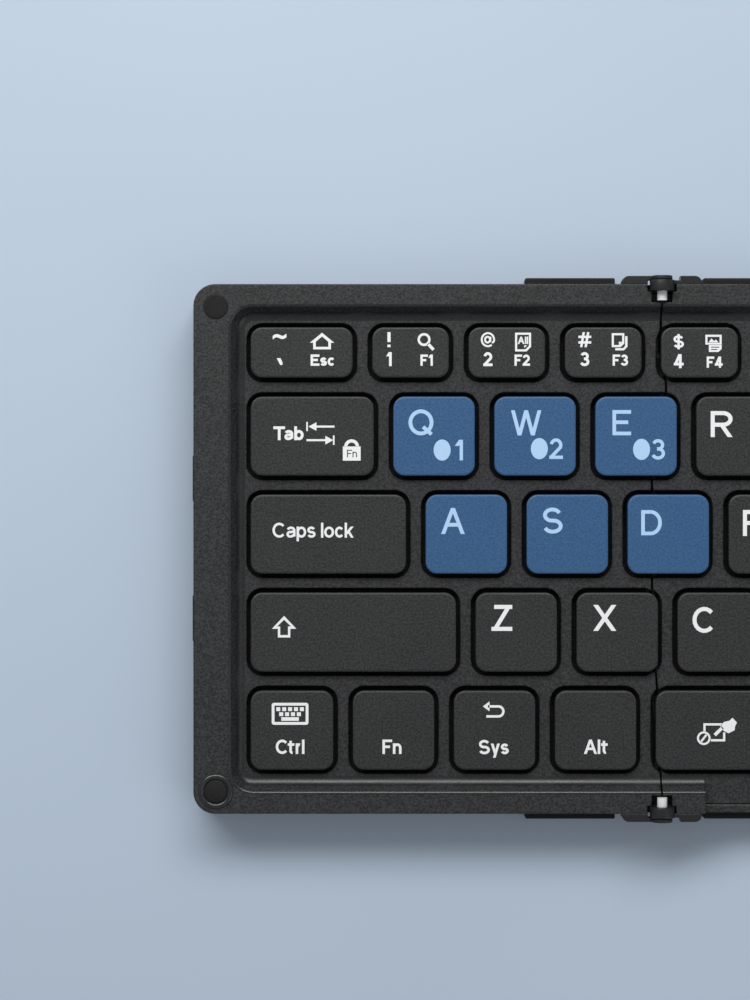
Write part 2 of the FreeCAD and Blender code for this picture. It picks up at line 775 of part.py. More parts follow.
# Feet and bumpers
def make_foot(label, across, along, plane):
    """A rubber foot under an edge, with a lip up the side. across are three distances over the edge."""
    inner, edge, outer = across
    begin, length = along
    lip = "(Sizes.foot_height + Sizes.foot_lip)"
    profile = [
        (inner, "0"),
        (outer, "0"),
        (outer, lip),
        (edge, lip),
        (edge, "Sizes.foot_height"),
        (inner, "Sizes.foot_height"),
    ]
    body = make_body(label)
    pad(body, "foot", begin, [profile], length, plane=plane)
    return body


def make_feet():
    for leaf in ("left", "centre", "right"):
        feet = []
        for fold in (-1, 1):
            if (fold, leaf) in ((-1, "right"), (1, "left")):
                continue
            outwards = fold if leaf != "centre" else -fold
            near = f"({fold} * {axis_x} + {outwards} * Sizes.foot_start)"
            begin = near if outwards > 0 else f"({near} - Sizes.foot_length)"
            for end in (1, -1):
                across = [
                    f"({end} * ({rear} - Sizes.foot_under))",
                    f"({end} * {rear})",
                    f"({end} * ({rear} + Sizes.foot_reach))",
                ]
                label = f"{leaf}_foot_{len(feet) + 1}"
                feet.append(make_foot(label, across, (begin, "Sizes.foot_length"), "YZ_Plane"))
        if leaf != "centre":
            feet += make_side_feet(leaf)
        group(f"{leaf}_feet", feet)


def make_side_feet(leaf):
    """The two short feet at the outer edge of a side leaf."""
    sign = -1 if leaf == "left" else 1
    outer = f"({axis_x} + {side_width})"
    across = [
        f"({sign} * ({outer} - Sizes.foot_under))",
        f"({sign} * {outer})",
        f"({sign} * ({outer} + Sizes.side_foot_reach))",
    ]
    feet = []
    for end in (1, -1):
        near = f"({end} * Sizes.side_foot_start)"
        begin = near if end < 0 else f"({near} + Sizes.side_foot_length)"
        label = f"{leaf}_side_foot_{len(feet) + 1}"
        feet.append(make_foot(label, across, (f"(-({begin}))", "Sizes.side_foot_length"), "XZ_Plane"))
    return feet


def make_bumpers():
    """Round rubber stops on the rim, at the corners away from the fold."""
    for leaf, sign in (("left", -1), ("right", 1)):
        stops = []
        for end in (1, -1):
            stop = doc.addObject("Part::Cylinder", f"{leaf}_bumper_{len(stops) + 1}")
            stop.setExpression("Radius", "Sizes.bumper_radius")
            stop.setExpression("Height", "Sizes.bumper_height")
            stop.setExpression("Placement.Base.x", f"{sign} * ({axis_x} + {side_width} - Sizes.bumper_inset)")
            stop.setExpression("Placement.Base.y", f"{end} * ({rear} - Sizes.bumper_inset)")
            stop.setExpression("Placement.Base.z", rim_top)
            stops.append(stop)
        group(f"{leaf}_bumpers", stops)


# Touchpad, battery and charging socket, all in the right leaf
half_tray = f"(({side_width} - Sizes.rim_side - Sizes.slope_width) / 2)"
pad_middle = f"({axis_x} + {half_tray})"


def touchpad_outline(grow):
    """The touchpad in the middle of the right tray's floor, grown by a gap."""
    across = f"({half_tray} - Sizes.touchpad_side_margin + {grow})"
    along = f"({rear} - Sizes.rim_end - Sizes.slope_width - Sizes.touchpad_end_margin + {grow})"
    return rectangle(f"({pad_middle} - {across})", f"({pad_middle} + {across})", f"-{along}", along)


def battery_outline(grow):
    across = f"(Sizes.battery_width / 2 + {grow})"
    along = f"(Sizes.battery_depth / 2 + {grow})"
    return rectangle(f"({pad_middle} - {across})", f"({pad_middle} + {across})", f"-{along}", along)


def make_touchpad():
    body = make_body("touchpad")
    pad(body, "plate", deck_bottom, [touchpad_outline("0")], "Sizes.deck_thickness")
    dress(body, "Fillet", "corners", upright_edges(body), "Radius", "Sizes.touchpad_corner")
    nodes[body.Label] = body


def make_battery():
    body = make_body("battery")
    bottom = f"({deck_bottom} - Sizes.board_thickness - Sizes.battery_height)"
    pad(body, "cell", bottom, [battery_outline("0")], "Sizes.battery_height")
    nodes[body.Label] = body


def make_socket():
    """The charging socket: a rounded tube around a flat tongue, closed at its inner end."""
    body = make_body("charging_socket")
    outer = f"({axis_x} + {side_width} - Sizes.fit_clear)"
    inner = f"({outer} - Sizes.socket_length)"
    shell = socket_outline("Sizes.socket_width / 2", "Sizes.socket_height / 2")
    pad(body, "shell", inner, [shell], "Sizes.socket_length", plane="YZ_Plane")
    along = [f"Edge{n}" for n, edge in enumerate(body.Tip.Shape.Edges, start=1) if is_along_x(edge)]
    dress(body, "Fillet", "corners", along, "Radius", "Sizes.socket_corner")
    mouth = socket_outline(
        "(Sizes.socket_width / 2 - Sizes.socket_wall)", "(Sizes.socket_height / 2 - Sizes.socket_wall)")
    pocket(body, "mouth", outer, [mouth], "(Sizes.socket_length - Sizes.socket_wall)", plane="YZ_Plane")
    tongue = socket_outline("Sizes.tongue_width / 2", "Sizes.tongue_thickness / 2")
    pad(body, "tongue", inner, [tongue], "(Sizes.socket_length - 2 * Sizes.socket_wall)", plane="YZ_Plane")
    nodes[body.Label] = body


def is_along_x(edge):
    ends = [vertex.Point for vertex in edge.Vertexes]
    return abs(ends[0].x - ends[1].x) > SIZES["socket_length"] / 2


def socket_outline(across, up):
    return rectangle(
        f"(Sizes.socket_place - {across})", f"(Sizes.socket_place + {across})",
        f"({socket_middle} - {up})", f"({socket_middle} + {up})",
    )


for leaf in ("left", "centre", "right"):
    make_frame(leaf)
    make_cover(leaf)
    make_board(leaf)
make_key_decks()
make_touchpad_deck()
make_dome_sheet("left")
make_dome_sheet("centre")
make_keys()
make_hinges()
make_feet()
make_bumpers()
make_touchpad()
make_battery()
make_socket()
doc.recompute()

failed = [item.Label for item in doc.Objects if {"Invalid", "Error"} & set(item.State)]
if failed:
    raise RuntimeError(f"not built: {failed}")
for label, item in nodes.items():
    if item.Shape.isNull() or not item.Shape.isValid() or not item.Shape.Solids:
        raise RuntimeError(f"{label} has no valid solid")

os.makedirs("parts", exist_ok=True)
for label, item in nodes.items():
    item.Shape.exportStep(f"parts/{label}.step")
print(len(nodes), "nodes written")
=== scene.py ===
"""Looks of the folding keyboard: materials, rounded caps and decks, legends, light and camera."""
import json
import math
import bmesh
import bpy
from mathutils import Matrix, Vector

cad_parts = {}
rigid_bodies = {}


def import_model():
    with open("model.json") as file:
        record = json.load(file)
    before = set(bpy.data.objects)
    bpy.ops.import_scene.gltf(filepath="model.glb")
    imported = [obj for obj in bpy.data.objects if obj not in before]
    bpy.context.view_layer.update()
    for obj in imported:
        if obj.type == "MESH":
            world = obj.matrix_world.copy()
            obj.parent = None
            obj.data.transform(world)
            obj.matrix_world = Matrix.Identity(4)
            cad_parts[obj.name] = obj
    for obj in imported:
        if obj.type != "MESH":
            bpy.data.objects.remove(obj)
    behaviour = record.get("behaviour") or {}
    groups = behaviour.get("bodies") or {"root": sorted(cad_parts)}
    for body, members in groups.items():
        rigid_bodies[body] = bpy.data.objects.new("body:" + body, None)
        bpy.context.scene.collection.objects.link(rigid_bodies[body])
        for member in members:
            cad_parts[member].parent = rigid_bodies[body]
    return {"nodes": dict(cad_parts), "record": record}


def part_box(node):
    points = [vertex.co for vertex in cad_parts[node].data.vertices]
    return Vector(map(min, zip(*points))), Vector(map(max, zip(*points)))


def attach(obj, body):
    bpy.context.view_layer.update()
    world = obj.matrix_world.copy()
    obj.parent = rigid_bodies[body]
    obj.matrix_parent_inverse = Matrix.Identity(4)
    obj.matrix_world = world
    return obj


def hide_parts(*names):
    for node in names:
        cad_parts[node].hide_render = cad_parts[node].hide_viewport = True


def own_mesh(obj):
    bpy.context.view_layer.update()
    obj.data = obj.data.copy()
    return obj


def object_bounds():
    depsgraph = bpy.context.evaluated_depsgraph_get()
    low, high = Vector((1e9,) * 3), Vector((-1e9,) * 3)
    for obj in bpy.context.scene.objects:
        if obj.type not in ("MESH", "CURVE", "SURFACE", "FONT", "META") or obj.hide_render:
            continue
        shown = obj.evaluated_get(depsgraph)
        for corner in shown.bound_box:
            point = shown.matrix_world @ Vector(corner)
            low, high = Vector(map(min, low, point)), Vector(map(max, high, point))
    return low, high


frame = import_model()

cad_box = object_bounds()
MM = 0.001
nodes = frame["nodes"]
# Points nearer than these are one point, in CAD meshes, in new plates and in legends
WELD = 0.002 * MM
PLATE_WELD = 0.001 * MM
INK_WELD = 0.0005 * MM
# The photo's size in pixels, its scale, the pixel of the left fold's middle, and that fold's axis
PHOTO = (750, 1000)
PIXELS_PER_MM = 5.88
FOLD_PIXEL = (662.0, 548.9)
AXIS_X = -80.6


# Materials
# Where a noise turns from its lower to its upper tone: of colour speckle, gloss, and worn ink
SPECKLE_BAND = (0.36, 0.64)
GLOSS_BAND = (0.3, 0.7)
WEAR_BAND = (0.25, 0.45)
GLOSS_SCALE = 90.0
WEAR_SCALE = 2500.0
WORN_TONE = 0.9
INK_GLOSS = (0.5, 0.62)
PIT_SHARE = 0.9
PIT_DEPTH = 0.12 * MM
EDGE_SAMPLES = 6
EDGE_TURN = (0.9, 0.99)
EDGE_POLISH = 0.4
STREAK_TONE = 0.85
STREAK_GLOSS = (0.8, 1.3)


def new_material(name):
    """A material, its node tree and its Principled shader."""
    material = bpy.data.materials.new(name)
    material.use_nodes = True
    tree = material.node_tree
    shader = tree.nodes["Principled BSDF"]
    return material, tree, shader


def add_node(tree, kind, **settings):
    node = tree.nodes.new(kind)
    for key, setting in settings.items():
        if key in node.inputs:
            node.inputs[key].default_value = setting
        else:
            setattr(node, key, setting)
    return node


def noise(tree, scale, detail=3.0, roughness=0.55):
    """Noise in object space, with scale in cells per metre."""
    place = add_node(tree, "ShaderNodeTexCoord")
    node = add_node(tree, "ShaderNodeTexNoise", Scale=scale, Detail=detail, Roughness=roughness)
    tree.links.new(place.outputs["Object"], node.inputs["Vector"])
    return node


def ramp(tree, source, band, tones):
    """Maps a value to two colours, or greys given as single numbers, at the ends of a band."""
    node = add_node(tree, "ShaderNodeValToRGB")
    for stop, place, tone in zip(node.color_ramp.elements, band, tones):
        colour = (tone, tone, tone) if isinstance(tone, float) else tone
        stop.position, stop.color = place, (*colour, 1.0)
    tree.links.new(source, node.inputs["Fac"])
    return node


def toned(colour, share):
    return tuple(part * share for part in colour)


def polish_edges(tree, soft, gloss, shader):
    """Lower the roughness where the softened normal leaves the face's, as on a rubbed edge."""
    face = add_node(tree, "ShaderNodeNewGeometry")
    turned = add_node(tree, "ShaderNodeVectorMath", operation="DOT_PRODUCT")
    tree.links.new(soft.outputs["Normal"], turned.inputs[0])
    tree.links.new(face.outputs["True Normal"], turned.inputs[1])
    share = ramp(tree, turned.outputs["Value"], EDGE_TURN, (EDGE_POLISH, 1.0))
    both = add_node(tree, "ShaderNodeMath", operation="MULTIPLY")
    tree.links.new(gloss.outputs["Color"], both.inputs[0])
    tree.links.new(share.outputs["Color"], both.inputs[1])
    tree.links.new(both.outputs["Value"], shader.inputs["Roughness"])


def grained(name, colour, spread, grain, depth, rough, edge=0.0, specular=0.5):
    """Moulded plastic or rubber: mottled colour, varying gloss, a fine grain and softened edges."""
    material, tree, shader = new_material(name)
    speckle = noise(tree, grain, 2.0)
    tones = toned(colour, 1 - spread), toned(colour, 1 + spread)
    tone = ramp(tree, speckle.outputs["Fac"], SPECKLE_BAND, tones)
    tree.links.new(tone.outputs["Color"], shader.inputs["Base Color"])
    broad = noise(tree, GLOSS_SCALE, 2.0)
    gloss = ramp(tree, broad.outputs["Fac"], GLOSS_BAND, rough)
    tree.links.new(gloss.outputs["Color"], shader.inputs["Roughness"])
    shader.inputs["Specular IOR Level"].default_value = specular
    pits = noise(tree, grain * PIT_SHARE, 2.0, 0.5)
    bump = add_node(tree, "ShaderNodeBump", Strength=depth, Distance=PIT_DEPTH)
    tree.links.new(pits.outputs["Fac"], bump.inputs["Height"])
    if edge:
        soft = add_node(tree, "ShaderNodeBevel", Radius=edge, samples=EDGE_SAMPLES)
        tree.links.new(soft.outputs["Normal"], bump.inputs["Normal"])
        polish_edges(tree, soft, gloss, shader)
    tree.links.new(bump.outputs["Normal"], shader.inputs["Normal"])
    return material


def metal(name, colour, rough, streak, metallic=1.0):
    """Metal with fine streaks, whose cells per metre are given for each direction."""
    material, tree, shader = new_material(name)
    place = add_node(tree, "ShaderNodeTexCoord")
    stretch = add_node(tree, "ShaderNodeMapping", Scale=streak)
    tree.links.new(place.outputs["Object"], stretch.inputs["Vector"])
    lines = add_node(tree, "ShaderNodeTexNoise", Scale=1.0, Detail=4.0)
    tree.links.new(stretch.outputs["Vector"], lines.inputs["Vector"])
    tone = ramp(tree, lines.outputs["Fac"], GLOSS_BAND, (toned(colour, STREAK_TONE), colour))
    tree.links.new(tone.outputs["Color"], shader.inputs["Base Color"])
    gloss = ramp(tree, lines.outputs["Fac"], GLOSS_BAND, [rough * share for share in STREAK_GLOSS])
    tree.links.new(gloss.outputs["Color"], shader.inputs["Roughness"])
    shader.inputs["Metallic"].default_value = metallic
    return material


def printed(name, colour):
    """Legend ink with faint wear."""
    material, tree, shader = new_material(name)
    wear = noise(tree, WEAR_SCALE, 4.0)
    tone = ramp(tree, wear.outputs["Fac"], WEAR_BAND, (toned(colour, WORN_TONE), colour))
    tree.links.new(tone.outputs["Color"], shader.inputs["Base Color"])
    gloss = ramp(tree, wear.outputs["Fac"], GLOSS_BAND, INK_GLOSS)
    tree.links.new(gloss.outputs["Color"], shader.inputs["Roughness"])
    return material


# Colours, and grains in cells per metre
BLACK = (0.0205, 0.021, 0.022)
BLUE = (0.029, 0.104, 0.243)
GRAIN = 3000.0
FINE = 4600.0
SHINE = (0.2, 0.28)
SATIN = (0.46, 0.56)
casing = grained("casing_black", BLACK, 0.8, GRAIN, 0.4, (0.5, 0.57), edge=0.4 * MM)
casing_edge = grained("casing_edge", BLACK, 0.4, GRAIN, 0.1, SHINE, specular=0.6)
tray_skin = grained("tray_black", (0.0195, 0.02, 0.021), 0.5, FINE, 0.15, (0.26, 0.36))
deck_skin = grained("deck_black", BLACK, 0.75, GRAIN, 0.35, (0.5, 0.64))
cap_black = grained("cap_black", (0.0215, 0.022, 0.0225), 0.62, GRAIN, 0.3, SATIN)
cap_black_edge = grained(
    "cap_black_edge", (0.0225, 0.023, 0.0235), 0.4, FINE, 0.1, SHINE, specular=0.65)
cap_blue = grained("cap_blue", BLUE, 0.2, GRAIN, 0.25, SATIN)
cap_blue_edge = grained("cap_blue_edge", BLUE, 0.12, FINE, 0.1, SHINE, specular=0.65)
rubber = grained(
    "rubber_black", (0.0085, 0.0085, 0.009), 0.3, GRAIN, 0.3, (0.66, 0.8), 0.3 * MM, 0.35)
hinge_coat = grained(
    "hinge_black", (0.013, 0.013, 0.0135), 0.25, 3500.0, 0.2, (0.36, 0.48), 0.2 * MM)
pad_skin = grained("touchpad_grey", (0.03, 0.031, 0.033), 0.1, 9000.0, 0.12, (0.36, 0.42))
board = grained("board_green", (0.02, 0.12, 0.05), 0.25, 900.0, 0.2, (0.4, 0.55))
dome = grained("dome_grey", (0.018, 0.018, 0.019), 0.2, 1500.0, 0.2, (0.75, 0.9), specular=0.3)
# The pin is steel, but its near-white colour with little metal is a painted glint that stands in
# for the bright reflection of its steel
steel = metal("pin_steel", (0.98, 0.98, 0.985), 0.34, (300.0, 5000.0, 300.0), 0.12)
socket_steel = metal("socket_steel", (0.6, 0.6, 0.61), 0.3, (4000.0, 300.0, 300.0))
foil = metal("battery_foil", (0.62, 0.62, 0.64), 0.42, (500.0, 500.0, 500.0))
ink_white = printed("ink_white", (0.97, 0.97, 0.97))
ink_blue = printed("ink_blue", (0.49, 0.71, 1.0))
ink_dark = printed("ink_dark", (0.05, 0.05, 0.05))

BY_SLOT = {
    "casing_black": casing, "cap_black": cap_black, "cap_blue": cap_blue, "rubber_black": rubber,
    "hinge_black": hinge_coat, "pin_steel": steel, "board_green": board, "dome_grey": dome,
    "touchpad_grey": pad_skin, "battery_foil": foil, "socket_steel": socket_steel,
}
slot_of = {part["node"]: part["material_slot"] for part in frame["record"]["subparts"]}
behaviour = frame["record"]["behaviour"]
body_of = {node: body for body, held in behaviour["bodies"].items() for node in held}


def paint(piece, material):
    piece.data.materials.clear()
    piece.data.materials.append(material)


for name, piece in nodes.items():
    paint(piece, BY_SLOT[slot_of[name]])


# Meshes
def new_object(name, data):
    made = bpy.data.objects.new(name, data)
    bpy.context.scene.collection.objects.link(made)
    return made


def new_piece(name, mesh, node, material):
    """A piece that rides with a CAD node's body."""
    piece = new_object(name, mesh)
    paint(piece, material)
    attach(piece, body_of[node])
    return piece


def mesh_from(bm, name):
    mesh = bpy.data.meshes.new(name)
    bm.normal_update()
    bm.to_mesh(mesh)
    bm.free()
    return mesh


def crease(bm, limit=35):
    """Keep the edges that turn by more than a limit in degrees sharp when the faces are smooth."""
    for edge in bm.edges:
        edge.smooth = edge.calc_face_angle(0.0) < math.radians(limit)


def islands(node):
    """Lowest and highest corners of the separate solids of a CAD node, from left to right."""
    bm = bmesh.new()
    bm.from_mesh(nodes[node].data)
    bmesh.ops.remove_doubles(bm, verts=bm.verts, dist=WELD)
    waiting = set(bm.verts)
    boxes = []
    while waiting:
        frontier = [waiting.pop()]
        found = list(frontier)
        while frontier:
            vertex = frontier.pop()
            for edge in vertex.link_edges:
                other = edge.other_vert(vertex)
                if other in waiting:
                    waiting.remove(other)
                    found.append(other)
                    frontier.append(other)
        low = Vector([min(v.co[i] for v in found) for i in range(3)])
        high = Vector([max(v.co[i] for v in found) for i in range(3)])
        boxes.append((low, high))
    bm.free()
    return sorted(boxes, key=lambda box: box[0][:])


def rounded_loop(low, high, radius, steps=8):
    """Points of a rectangle with round corners, counter-clockwise."""
    points = []
    for corner in range(4):
        x = high.x - radius if corner in (0, 3) else low.x + radius
        y = high.y - radius if corner in (0, 1) else low.y + radius
        for step in range(steps + 1):
            angle = math.pi / 2 * (corner + step / steps)
            points.append((x + radius * math.cos(angle), y + radius * math.sin(angle)))
    return points


CAP_CORNER = 2.0 * MM
CAP_LEAN = 0.05 * MM
CAP_ROLL = 0.1 * MM
CAP_CROWN = 0.6 * MM
CAP_BREAK = math.radians(32)


def cap_edge(steps=4):
    """A cap's upper edge as depths below its top and insets: a tight roll, then a broad crown."""
    crown_drop = CAP_CROWN * (1 - math.cos(CAP_BREAK))
    points = []
    for step in range(steps + 1):
        tilt = math.pi / 2 + (CAP_BREAK - math.pi / 2) * step / steps
        drop = crown_drop + CAP_ROLL * (math.cos(CAP_BREAK) - math.cos(tilt))
        points.append((drop, CAP_LEAN + CAP_ROLL * (1 - math.sin(tilt))))
    start = points[-1][1]
    for step in range(1, steps + 1):
        tilt = CAP_BREAK * (1 - step / steps)
        drop = CAP_CROWN * (1 - math.cos(tilt))
        points.append((drop, start + CAP_CROWN * (math.sin(CAP_BREAK) - math.sin(tilt))))
    return points


def add_cap(bm, low, high):
    """One key cap: sides that lean in a little, a rolled upper edge and a flat top."""
    levels = [(low.z, 0.0)] + [(high.z - drop, inset) for drop, inset in cap_edge()]
    rings = []
    for z, inset in levels:
        aside = Vector((inset, inset, 0.0))
        loop = rounded_loop(low + aside, high - aside, CAP_CORNER - inset)
        rings.append([bm.verts.new((x, y, z)) for x, y in loop])
    for level, (lower, upper) in enumerate(zip(rings, rings[1:])):
        for n in range(len(lower)):
            face = bm.faces.new((lower[n - 1], lower[n], upper[n], upper[n - 1]))
            face.smooth = True
            face.material_index = 1 if level else 0
    bm.faces.new(rings[-1])
    bm.faces.new(list(reversed(rings[0])))


key_nodes = [name for name in nodes if name.endswith(("_key", "_row_keys"))]
for name in key_nodes:
    bm = bmesh.new()
    for low, high in islands(name):
        add_cap(bm, low, high)
    slot = slot_of[name]
    cap = new_piece(f"cap_{name}", mesh_from(bm, f"caps_{name}"), name, BY_SLOT[slot])
    cap.data.materials.append(cap_blue_edge if slot == "cap_blue" else cap_black_edge)
    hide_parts(name)


# Decks: the outlines of the CAD plates, with smooth arcs at their corners and rolled edges
DECK_ROLL = 0.18 * MM
SAME_LEVEL = 0.01 * MM
STRAIGHT = math.radians(1)
TURN_SLACK = 0.05
CUT_SHORT = 0.98
UPRIGHT = 0.99


def outlines(node, pick=max):
    """Closed outlines of a plate's upper face, or with min its lower one, as lists of points."""
    bm = bmesh.new()
    bm.from_mesh(nodes[node].data)
    bmesh.ops.remove_doubles(bm, verts=bm.verts, dist=WELD)
    level = pick(v.co.z for v in bm.verts)
    for face in bm.faces:
        face.tag = all(abs(v.co.z - level) < SAME_LEVEL for v in face.verts)
    follow = {}
    for face in [f for f in bm.faces if f.tag]:
        for loop in face.loops:
            if not any(f.tag for f in loop.edge.link_faces if f is not face):
                follow.setdefault(loop.vert, []).append(loop.link_loop_next.vert)
    loops = []
    while follow:
        start = next(iter(follow))
        vertex, points = start, []
        while True:
            points.append(vertex.co.xy.copy())
            ahead = follow[vertex].pop()
            if not follow[vertex]:
                del follow[vertex]
            vertex = ahead
            if vertex is start:
                break
        loops.append([p for n, p in enumerate(points) if abs(turn_at(points, n)) > STRAIGHT])
    bm.free()
    return loops


def turn_at(points, n):
    """How far an outline turns at a point, in radians, positive to the left."""
    before = points[n] - points[n - 1]
    after = points[(n + 1) % len(points)] - points[n]
    return math.atan2(before.cross(after), before.dot(after))


def smoothed(points, steps=9):
    """Corners that turn in two cuts, as those of the wells do, become arcs, also where the seam
    leaves out an end."""
    count = len(points)
    turns = [abs(turn_at(points, n)) for n in range(count)]
    end_turn, mid_turn = math.radians(22.5), math.radians(45)
    renewed = {}
    for n, point in enumerate(points):
        beside = [(n - 1) % count, (n + 1) % count]
        if abs(turns[n] - mid_turn) > TURN_SLACK:
            continue
        if all(abs(turns[m] - end_turn) > TURN_SLACK for m in beside):
            continue
        arms = [points[m] - point for m in beside]
        whole = max(arm.length for arm in arms)
        first, last = [point + arm.normalized() * whole for arm in arms]
        chord = last - first
        centre = (first + last) / 2 + (first + last - 2 * point).normalized() * chord.length / 2
        begin = first - centre
        way = math.copysign(math.pi / 2, begin.cross(last - centre))
        bend = []
        for step in range(1, steps):
            angle = way * step / steps
            bend.append(centre + Vector((
                begin.x * math.cos(angle) - begin.y * math.sin(angle),
                begin.x * math.sin(angle) + begin.y * math.cos(angle))))
        for m, arm in zip(beside, arms):
            if arm.length < whole * CUT_SHORT:
                seam = points[m].x
                bend = [place for place in bend if (place.x - seam) * (point.x - seam) > 0]
                rise = math.sqrt(begin.length_squared - (seam - centre.x) ** 2)
                renewed[m] = [Vector((seam, centre.y + math.copysign(rise, point.y - centre.y)))]
        renewed[n] = bend
    return [place for n in range(count) for place in renewed.get(n, [points[n]])]


def from_right(points):
    """The outline from the middle of its rightmost side, level with no corner of another outline.
    Blender tells holes by their first points, and rolls their edges the other way."""
    n = max(range(len(points)), key=lambda n: points[n].x + points[n - 1].x)
    return [(points[n - 1] + points[n]) / 2, *points[n:], *points[:n]]


def solid_of(data):
    """The mesh of a filled curve or text, whose own data is removed."""
    holder = new_object("holder", data)
    bpy.context.view_layer.update()
    ready = holder.evaluated_get(bpy.context.evaluated_depsgraph_get())
    bm = bmesh.new()
    bm.from_mesh(ready.to_mesh())
    ready.to_mesh_clear()
    bpy.data.objects.remove(holder)
    bpy.data.curves.remove(data)
    return bm


def plate(name, loops, low, high, roll):
    """A flat mesh of outlines with holes, between two heights, with rolled edges."""
    data = bpy.data.curves.new(name, "CURVE")
    data.dimensions = "2D"
    data.fill_mode = "BOTH"
    data.extrude = (high - low) / 2 - roll
    data.bevel_depth = roll
    data.bevel_resolution = 2
    data.offset = -roll
    for points in loops:
        spline = data.splines.new("POLY")
        spline.points.add(len(points) - 1)
        spline.use_cyclic_u = True
        for slot, point in zip(spline.points, points):
            slot.co = (point[0], point[1], 0.0, 1.0)
    bm = solid_of(data)
    bmesh.ops.translate(bm, verts=bm.verts, vec=(0, 0, (low + high) / 2))
    bmesh.ops.remove_doubles(bm, verts=bm.verts, dist=PLATE_WELD)
    bmesh.ops.recalc_face_normals(bm, faces=bm.faces)
    for face in bm.faces:
        face.smooth = abs(face.normal.z) < UPRIGHT
    return bm


for leaf in ("left", "centre"):
    node = f"{leaf}_deck"
    low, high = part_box(node)
    loops = [from_right(smoothed(points)) for points in outlines(node)]
    mesh = mesh_from(plate(f"plate_{leaf}", loops, low.z, high.z, DECK_ROLL), f"plate_{leaf}")
    deck = new_piece(f"{leaf}_key_deck", mesh, node, deck_skin)
    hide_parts(node)


# Carried-over CAD nodes get softened edges
SOFTENED = {
    "frame": 0.28 * MM, "bottom_cover": 0.25 * MM, "hinge_arms": 0.2 * MM, "feet": 0.35 * MM}
SOFT_STEPS = 3
COPLANAR = math.radians(0.5)
SOFT_LIMIT = math.radians(30)


def soften(node, width, edge=None):
    """Round the edges of a CAD node, with a material of their own where one is given."""
    piece = nodes[node]
    weld = piece.modifiers.new("weld", "WELD")
    weld.merge_threshold = WELD
    flat = piece.modifiers.new("flat", "DECIMATE")
    flat.decimate_type = "DISSOLVE"
    flat.angle_limit = COPLANAR
    bevel = piece.modifiers.new("edges", "BEVEL")
    bevel.width = width
    bevel.segments = SOFT_STEPS
    bevel.limit_method = "ANGLE"
    bevel.angle_limit = SOFT_LIMIT
    if edge:
        piece.data.materials.append(edge)
        bevel.material = 1
    piece.modifiers.new("normals", "WEIGHTED_NORMAL")


for leaf in ("left", "centre", "right"):
    for part, width in SOFTENED.items():
        soften(f"{leaf}_{part}", width, casing_edge if part == "frame" else None)


# Tray coves, the hollow between the tray's floor and its slope, and beads on the slope's upper edge
FOOT_REACH = 0.45 * MM
RIM_END = 3.65 * MM
RIM_SIDE = 6.2 * MM
SLOPE = 1.6 * MM
TRAY_DEPTH = 2.0 * MM
TRAY_CORNER = 2.33 * MM
COVE = 1.9 * MM
BEHIND = 0.25 * MM
BEAD = 0.6 * MM
BEAD_LIFT = 0.075 * MM
FOLD_GAP = 0.15 * MM
FRONT_STEP = 7.4 * MM
LEAN = math.atan2(TRAY_DEPTH, SLOPE)


def cove_profile(steps=8):
    """Points across a cove, as distances from the slope's foot into the tray and heights."""
    reach = COVE * math.tan(LEAN / 2)
    hollow = []
    for step in range(steps + 1):
        angle = LEAN * step / steps
        hollow.append((reach - COVE * math.sin(angle), COVE * (1 - math.cos(angle))))
    last = hollow[-1]
    return hollow + [(last[0] - BEHIND, last[1]), (-BEHIND, -BEHIND), (reach, -BEHIND)]


def sweep(lines):
    """A closed skin along lines of points that run side by side."""
    bm = bmesh.new()
    rows = [[bm.verts.new(point) for point in line] for line in lines]
    count = len(rows[0])
    for row, beside in zip(rows, rows[1:] + rows[:1]):
        for n in range(count - 1):
            bm.faces.new((row[n], row[n + 1], beside[n + 1], beside[n])).smooth = True
    bm.faces.new([row[0] for row in rows])
    bm.faces.new([row[-1] for row in reversed(rows)])
    bmesh.ops.recalc_face_normals(bm, faces=bm.faces)
    crease(bm)
    return bm


def bead_profile(steps=8):
    """Points across the bead on the slope's upper edge, in the same measures as the cove's."""
    across = -SLOPE - BEAD * math.tan(LEAN / 2) + BEAD_LIFT * math.sin(LEAN / 2)
    up = TRAY_DEPTH - BEAD + BEAD_LIFT * math.cos(LEAN / 2)
    crest = []
    for step in range(steps + 1):
        angle = LEAN * step / steps
        crest.append((across + BEAD * math.sin(angle), up + BEAD * math.cos(angle)))
    return crest + [(across, up + BEAD / 2)]


def tray_side(inset):
    """Where the slope's foot lies at the rear, drawn in by inset."""
    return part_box("left_frame")[1].y - RIM_END - SLOPE - inset


def side_tray_line(inset, z, fold, way, steps=8):
    """Round the tray of a side leaf from its fold and back, drawn in by inset."""
    outer = abs(cad_box[0].x + FOOT_REACH) - RIM_SIDE - SLOPE - inset
    side = tray_side(inset)
    radius = TRAY_CORNER - inset
    points = [(fold, side)]
    for corner, y in enumerate((side - radius, radius - side)):
        for step in range(steps + 1):
            angle = math.pi / 2 * (1 + corner + step / steps)
            points.append((radius * (1 + math.cos(angle)) - outer, y + radius * math.sin(angle)))
    points.append((fold, -side))
    return [(x * way, y, z) for x, y in points]


def along_x(inset, z, left, right, end):
    """Along the tray of the centre leaf, at the rear with an end of 1 or at the front with -1."""
    return [(x, end * tray_side(inset), z) for x in (left, right)]


